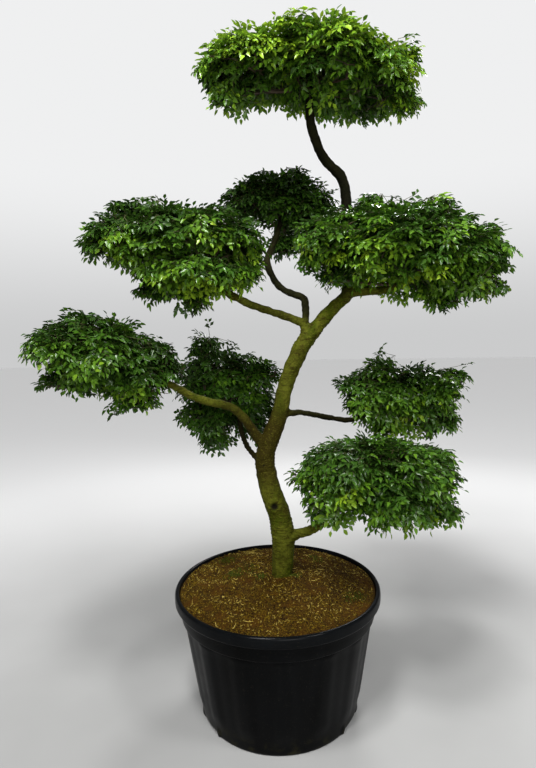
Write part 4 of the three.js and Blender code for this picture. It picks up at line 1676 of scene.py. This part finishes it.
@dataclass
class Tub:
    """The nursery tub: a tapered wall with raised ribs, a band and a rolled collar."""

    foot_radius: float = 0.287
    wall_top_radius: float = 0.3436
    band_foot: float = 0.362
    band_radius: float = 0.356
    collar_foot: float = 0.417
    collar_radius: float = 0.378
    height: float = 0.454
    mouth_radius: float = 0.362
    shoulder_radius: float = 0.339
    wall: float = 0.005
    floor: float = 0.012
    ribs: int = 15
    rib_raise: float = 0.0042
    rib_start: tuple[float, float] = (0.030, 0.096)
    rib_half: tuple[float, float] = (1.8, 8.6)
    front_rib: float = -88.0
    columns_per_rib: int = 17
    inner_rows: int = 10
    notches: int = 3
    first_notch: float = 90.0
    notch_half: float = 10.0
    notch_height: float = 0.014
    notch_depth: float = 0.006
    nub: float = 0.0045

    def wall_radius(self, z: float) -> float:
        """The outer wall's radius at a height, between the ribs."""
        rise = (self.wall_top_radius - self.foot_radius) / self.band_foot
        return self.foot_radius + rise * z

    def outline(self) -> list[tuple[float, float]]:
        """Radius and height down the tub's section, from the foot over the rim to the floor."""
        rows = [(0.270, 0.0), (0.2820, 0.0), (0.2850, 0.0010), (0.2866, 0.0032)]
        rows += [(self.wall_radius(z), z) for z in np.linspace(0.008, 0.100, 15)]
        rows += [(self.wall_radius(z), z) for z in np.linspace(0.125, 0.341, 10)]
        top, band, collar = self.wall_top_radius, self.band_radius, self.collar_radius
        foot, lip, rim = self.band_foot, self.collar_foot, self.height
        rows += [(top, foot - 0.009), (top + 0.0006, foot - 0.0042)]
        rows += [(top + 0.0030, foot - 0.0020), (band - 0.0030, foot - 0.0008)]
        rows += [(band - 0.0008, foot + 0.0012), (band, foot + 0.0042), (band + 0.0004, 0.388)]
        rows += [(band + 0.0010, lip - 0.007), (band + 0.0022, lip - 0.0036)]
        rows += [(band + 0.006, lip - 0.0018), (collar - 0.006, lip - 0.0012)]
        rows += [(collar - 0.0022, lip + 0.0002), (collar - 0.0004, lip + 0.0032)]
        rows += [(collar, lip + 0.007), (collar, rim - 0.012), (collar - 0.0006, rim - 0.0076)]
        rows += [(collar - 0.0024, rim - 0.0040), (collar - 0.0054, rim - 0.0014)]
        rows += [(collar - 0.0090, rim - 0.0004), (self.mouth_radius + 0.0024, rim - 0.0014)]
        rows += [(self.mouth_radius + 0.0004, rim - 0.0038)]
        rows += [(self.mouth_radius - 0.0006, rim - 0.008)]
        rows += [(0.3565, 0.425), (self.shoulder_radius, foot)]
        rows += [(self.foot_radius - self.wall, self.floor), (0.150, self.floor)]
        return rows

    def build(self, plastic: Material) -> Piece:
        """Builds the tub.

        Args:
            plastic: Its finish.

        Returns:
            The piece.
        """
        rows = np.array(self.outline())
        columns = self.ribs * self.columns_per_rib
        degrees = np.arange(columns) * 360 / columns
        off_rib = degrees_off(degrees, self.front_rib, self.ribs)
        rib = 1 - eased(off_rib, *self.rib_half)
        off_notch = degrees_off(degrees, self.first_notch, self.notches)
        notch = 1 - eased(off_notch, self.notch_half * 0.9, self.notch_half * 1.1)
        nub = np.exp(-(((off_notch - self.notch_half * 1.25) / 1.6) ** 2))
        radius, z = rows[:, :1], rows[:, 1:]
        outside = np.arange(len(rows))[:, None] < len(rows) - self.inner_rows
        on_wall = (z < self.band_foot - 0.003) & outside
        under_band = 1 - eased(z, self.band_foot - 0.007, self.band_foot - 0.002)
        fade = eased(z, *self.rib_start) * under_band * on_wall
        low = (1 - eased(z, self.notch_height * 0.7, self.notch_height)) * on_wall
        edge = (1 - eased(z, 0.016, 0.040)) * eased(z, -0.001, 0.002) * outside
        full = radius + self.rib_raise * fade * rib[None] - self.notch_depth * low * notch[None]
        full = full + self.nub * edge * nub[None]
        angle = np.radians(degrees)[None]
        height = np.broadcast_to(z, full.shape)
        points = np.stack([full * np.cos(angle), full * np.sin(angle), height], axis=-1)
        faces = grid_faces(len(rows), columns, closed=True)
        draft = MeshDraft()
        flat = points.reshape(-1, 3)
        middles = np.array([[0, 0, rows[0, 1]], [0, 0, rows[-1, 1]]])
        draft.add(np.concatenate([flat, middles]), [faces, *end_fans(len(flat), columns)])
        piece = draft.make("tub_shell", plastic)
        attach(piece, ROOT)
        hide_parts("pot")
        return piece


@dataclass
class MulchBed:
    """The mulch: a rough felt over the soil, with loose fibres, straw and moss."""

    seed: int = 31
    radius: float = 0.3585
    trunk: tuple[float, float] = (0.0185, 0.0245)
    trunk_radius: float = 0.036
    edge_height: float = 0.443
    mound_height: float = 0.482
    under_height: float = 0.4305
    swells: tuple[tuple[float, float, int], ...] = (
        (0.0042, 0.075, 3), (0.0022, 0.026, 4), (0.0011, 0.010, 8),
    )
    dip_depth: float = 0.006
    dip_width: float = 0.018
    rings: int = 60
    columns: int = 170
    fibres: int = 4600
    straws: int = 130
    moss_spots: tuple[tuple[float, float, float], ...] = (
        (-0.120, 0.070, 0.060), (-0.165, 0.020, 0.035), (0.060, -0.010, 0.030),
        (0.270, -0.130, 0.045), (0.020, 0.110, 0.050), (-0.060, -0.020, 0.030),
        (0.160, 0.180, 0.050), (-0.200, 0.190, 0.050),
    )
    moss_tufts: int = 700
    draw: np.random.Generator = field(init=False)

    def __post_init__(self) -> None:
        """Starts the bed's own draws."""
        self.draw = np.random.default_rng(self.seed)

    def level(self, x: Array, y: Array) -> Array:
        """The height of the felt at places on it."""
        share = np.clip(np.hypot(x, y) / self.radius, 0, 1)
        height = self.mound_height - (self.mound_height - self.edge_height) * share**2
        spots = np.stack([x, y, np.zeros_like(x)], axis=-1)
        rough = rough_ground(spots, self.swells)
        foot = np.hypot(x - self.trunk[0], y - self.trunk[1]) - self.trunk_radius
        dip = -self.dip_depth * np.exp(-((foot / self.dip_width) ** 2))
        return height + rough * (1 - 0.5 * share**6) + dip

    def build_felt(self, felt: Material) -> Piece:
        """Builds the felt as a closed blanket that rests on the soil."""
        share = np.linspace(0.02, 1, self.rings)
        turn = np.arange(self.columns) * 2 * math.pi / self.columns
        x = self.radius * share[:, None] * np.cos(turn)
        y = self.radius * share[:, None] * np.sin(turn)
        top = np.stack([x, y, self.level(x, y)], axis=-1)
        skirt = top[-1:].copy()
        skirt[..., 2] = self.under_height
        rows = np.concatenate([top, skirt])
        faces = grid_faces(len(rows), self.columns, closed=True)
        flat = rows.reshape(-1, 3)
        top_height = float(self.level(np.zeros(1), np.zeros(1))[0])
        middles = np.array([[0, 0, top_height], [0, 0, self.under_height]])
        fans = end_fans(len(flat), self.columns, flip=True)
        draft = MeshDraft()
        draft.add(np.concatenate([flat, middles]), [faces, *fans])
        piece = draft.make("mulch_felt", felt)
        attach(piece, ROOT)
        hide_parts("mulch")
        return piece

    def scattered(self, count: int, clear: float) -> Array:
        """Spreads places over the bed, clear of the trunk and of the rim."""
        reach = (self.radius - 0.006) * np.sqrt(self.draw.uniform(0, 1, count * 2))
        turn = self.draw.uniform(0, 2 * math.pi, count * 2)
        spots = np.stack([reach * np.cos(turn), reach * np.sin(turn)], axis=1)
        away = np.linalg.norm(spots - np.array(self.trunk), axis=1)
        return spots[away > self.trunk_radius + clear][:count]

    def lying(self, spots: Array, length: Array, lift: float, steps: int) -> Array:
        """Lays curved strands on the felt.

        Args:
            spots: The middle of each.
            length: How long each is.
            lift: How high the ends may stand above the felt.
            steps: How many points each has.

        Returns:
            The strands' points.
        """
        count = len(spots)
        turn = self.draw.uniform(0, 2 * math.pi, count)
        bow = self.draw.normal(0, 0.22, count)
        t = np.linspace(-0.5, 0.5, steps)
        heading = turn[:, None] + bow[:, None] * t
        x = spots[:, :1] + np.cos(heading) * length[:, None] * t
        y = spots[:, 1:] + np.sin(heading) * length[:, None] * t
        reach = np.hypot(x, y)
        inward = np.minimum(1, (self.radius - 0.003) / reach)
        x, y = x * inward, y * inward
        tilt = self.draw.uniform(-1, 1, count)[:, None] * t * 2
        rise = self.draw.uniform(0.2, 1, count)[:, None] * lift
        z = self.level(x, y) + 0.0012 + rise * (0.5 + tilt * 0.5) * np.abs(t * 2) ** 0.7
        return np.stack([x, y, z], axis=-1)

    def add_strands(
        self,
        draft: MeshDraft,
        paths: Array,
        thick: Array,
        tones: Array,
        sides: int,
    ) -> None:
        """Adds strands to a mesh, thinner at both ends, each with its tones."""
        steps = paths.shape[1]
        taper = 1 - 0.75 * np.abs(np.linspace(-1, 1, steps)) ** 2
        points, faces = tubes(paths, thick[:, None] * taper, sides)
        shape = points.shape[:3]
        each = np.broadcast_to(tones[:, None, None], (*shape, 2)).reshape(-1, 2)
        places = ToneSheet().places(each, tube_places(shape))
        draft.add(points.reshape(-1, 3), [faces], **places)

    def build_litter(self, fibre: Material) -> Piece:
        """Builds the loose fibres, the straw and the moss on the felt."""
        draft = MeshDraft()
        spots = self.scattered(self.fibres, 0.001)
        patch = Swell(0.12, 12).at(np.column_stack([spots, np.zeros(len(spots))]))
        light = 0.47 + 0.20 * patch + self.draw.normal(0, 0.28, len(spots))
        tones = np.stack([self.draw.uniform(0, 0.7, len(spots)), np.clip(light, 0.02, 0.9)], 1)
        length = self.draw.uniform(0.004, 0.0105, len(spots))
        thick = self.draw.uniform(0.0006, 0.0015, len(spots))
        self.add_strands(draft, self.lying(spots, length, 0.006, 3), thick, tones, 3)
        spots = self.scattered(self.straws, 0.004)
        light = self.draw.uniform(0.78, 0.99, len(spots))
        tones = np.stack([self.draw.uniform(0, 0.6, len(spots)), light], 1)
        length = 0.006 + 0.034 * self.draw.uniform(0, 1, len(spots)) ** 3
        thick = self.draw.uniform(0.0006, 0.0014, len(spots))
        self.add_strands(draft, self.lying(spots, length, 0.008, 5), thick, tones, 5)
        self.add_moss(draft)
        piece = draft.make("mulch_litter", fibre)
        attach(piece, ROOT)
        return piece

    def add_moss(self, draft: MeshDraft) -> None:
        """Adds tufts of moss in their spots."""
        middles = np.array(self.moss_spots)
        pick = self.draw.integers(0, len(middles), self.moss_tufts)
        spread = middles[pick, 2:] * self.draw.normal(0, 0.45, (len(pick), 2))
        spots = middles[pick, :2] + spread
        inside = np.linalg.norm(spots, axis=1) < self.radius - 0.008
        away = np.linalg.norm(spots - np.array(self.trunk), axis=1) > self.trunk_radius + 0.003
        spots = spots[inside & away]
        count = len(spots)
        low = np.column_stack([spots, self.level(spots[:, 0], spots[:, 1]) - 0.001])
        lean = self.draw.normal(0, 0.35, (count, 3)) * np.array([1, 1, 0]) + UP
        high = low + unit(lean) * self.draw.uniform(0.005, 0.013, (count, 1))
        t = np.linspace(0, 1, 3)[None, :, None]
        paths = low[:, None] * (1 - t) + high[:, None] * t
        tones = np.stack([np.full(count, 0.97), self.draw.uniform(0.2, 0.95, count)], 1)
        self.add_strands(draft, paths, self.draw.uniform(0.0010, 0.0022, count), tones, 3)


# The studio


@dataclass(frozen=True)
class Lamp:
    """A square lamp: where it hangs, what it shines at, its width and its watts."""

    name: str
    place: Point
    aim: Point
    size: float
    power: float


@dataclass(frozen=True)
class Daylight:
    """Even light from one side: its strength to a square metre and its width in degrees."""

    place: Point = (-1.2, -2.2, 3.6)
    power: float = 1.5
    spread: float = 10.0


LAMPS = (
    Lamp("key", (-0.5, -1.2, 3.5), (0.12, 0.0, 2.25), 0.5, 78.0),
    Lamp("fill", (1.6, -1.5, 3.4), (0.1, 0.0, 1.5), 0.6, 45.0),
    Lamp("front", (0.7, -3.5, 2.1), (0.1, 0.0, 1.3), 1.2, 66.0),
    Lamp("back", (1.0, 2.6, 3.2), (0.1, 0.0, 1.5), 1.0, 75.0),
)


@dataclass
class Studio:
    """A pale floor, soft lamps and the camera.

    The camera sees the sky at seen_sky, fading to low_sky at the horizon over sky_rise, and
    the sky lights the tree at cast_sky.
    """

    camera_place: Point = (-0.019, -1.893, 1.343)
    pitch: float = 4.38
    roll: float = -0.0214
    focal_pixels: float = 522.4
    picture_height: float = 768.0
    sensor: float = 36.0
    floor_radius: float = 40.0
    floor_sides: int = 96
    sky: Colour = (0.96, 0.965, 0.97)
    seen_sky: float = 0.90
    low_sky: float = 0.62
    sky_rise: float = 0.30
    cast_sky: float = 0.23

    def build_floor(self, finish: Material) -> None:
        """Lays the floor."""
        sides = self.floor_sides
        corner = np.arange(sides)
        turn = corner * 2 * math.pi / sides
        rim = np.stack([np.cos(turn), np.sin(turn), np.zeros(sides)], axis=1) * self.floor_radius
        fan = np.stack([np.full(sides, sides), corner, (corner + 1) % sides], axis=1)
        draft = MeshDraft()
        draft.add(np.concatenate([rim, np.zeros((1, 3))]), [fan])
        draft.make("studio_floor", finish)

    def add_lamps(self) -> None:
        """Adds the daylight and hangs the lamps."""
        day = Daylight()
        sun = bpy.data.lights.new("daylight", "SUN")
        sun.energy = day.power
        sun.angle = math.radians(day.spread)
        self.hang(sun, day.place, (0.0, 0.0, 0.0))
        for lamp in LAMPS:
            light = bpy.data.lights.new(lamp.name, "AREA")
            light.size = lamp.size
            light.energy = lamp.power
            self.hang(light, lamp.place, lamp.aim)

    def hang(self, light: bpy.types.Light, place: Point, aim: Point) -> None:
        """Hangs a light at a place and turns it to its aim."""
        lamp = bpy.data.objects.new(light.name, light)
        bpy.context.scene.collection.objects.link(lamp)
        way = unit(np.array(aim) - np.array(place))
        side = unit(np.cross(way, UP + np.array([0, 0.001, 0])))
        above = np.cross(side, way)
        turn = Matrix([[side[k], above[k], -way[k]] for k in range(3)]).to_4x4()
        lamp.matrix_world = Matrix.Translation(place) @ turn

    def build_camera(self) -> None:
        """Stands the camera where the picture was taken from."""
        lens = bpy.data.cameras.new("camera")
        lens.lens = self.focal_pixels / self.picture_height * self.sensor
        lens.sensor_width = self.sensor
        camera = bpy.data.objects.new("camera", lens)
        bpy.context.scene.collection.objects.link(camera)
        tilt = Matrix.Rotation(math.radians(90 - self.pitch), 4, "X")
        camera.matrix_world = (
            Matrix.Translation(self.camera_place) @ tilt @ Matrix.Rotation(self.roll, 4, "Z")
        )
        bpy.context.scene.camera = camera

    def build_sky(self) -> None:
        """Makes the sky: a backdrop that pales upwards, and an even dim light on the tree."""
        world = bpy.data.worlds.new("studio")
        world.use_nodes = True
        nodes, join = world.node_tree.nodes, world.node_tree.links.new
        sky = nodes["Background"]
        sky.inputs["Color"].default_value = (*self.sky, 1.0)
        strength = nodes.new("ShaderNodeMapRange")
        strength.inputs["To Min"].default_value = self.cast_sky
        split = nodes.new("ShaderNodeSeparateXYZ")
        join(nodes.new("ShaderNodeTexCoord").outputs["Generated"], split.inputs[0])
        backdrop = nodes.new("ShaderNodeMapRange")
        backdrop.interpolation_type = "SMOOTHSTEP"
        join(split.outputs["Z"], backdrop.inputs["Value"])
        backdrop.inputs["From Max"].default_value = self.sky_rise
        backdrop.inputs["To Min"].default_value = self.low_sky
        backdrop.inputs["To Max"].default_value = self.seen_sky
        join(backdrop.outputs["Result"], strength.inputs["To Max"])
        seen = nodes.new("ShaderNodeLightPath").outputs["Is Camera Ray"]
        join(seen, strength.inputs["Value"])
        join(strength.outputs["Result"], sky.inputs["Strength"])
        bpy.context.scene.world = world

    def build(self, finish: Material) -> None:
        """Builds the studio."""
        self.build_floor(finish)
        self.build_sky()
        self.add_lamps()
        bpy.context.scene.view_settings.view_transform = "Standard"
        self.build_camera()


def triangles_of(piece: Piece) -> int:
    """How many triangles a piece has."""
    return sum(len(face.vertices) - 2 for face in piece.data.polygons)


def main() -> None:
    """Dresses the frame and lights it."""
    logging.basicConfig(level=logging.INFO, format="%(message)s")
    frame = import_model()
    Studio().build(FloorFinish().make())
    pieces = [Wood().build(BarkFinish().make()), Tub().build(TubFinish().make())]
    bed = MulchBed()
    pieces += [bed.build_felt(MulchFinish().make()), bed.build_litter(FibreFinish().make())]
    soil = frame["nodes"]["soil"]
    soil.data.materials[0] = SoilFinish().make()
    leaf, twig = LeafFinish().make(), TwigFinish().make()
    for head in HEADS:
        pieces += head.build(leaf, twig)
    for piece in pieces:
        LOG.info("%s: %d triangles", piece.name, triangles_of(piece))
    LOG.info("all pieces: %d triangles", sum(triangles_of(piece) for piece in pieces))
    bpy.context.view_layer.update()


if __name__ == "__main__":
    main()
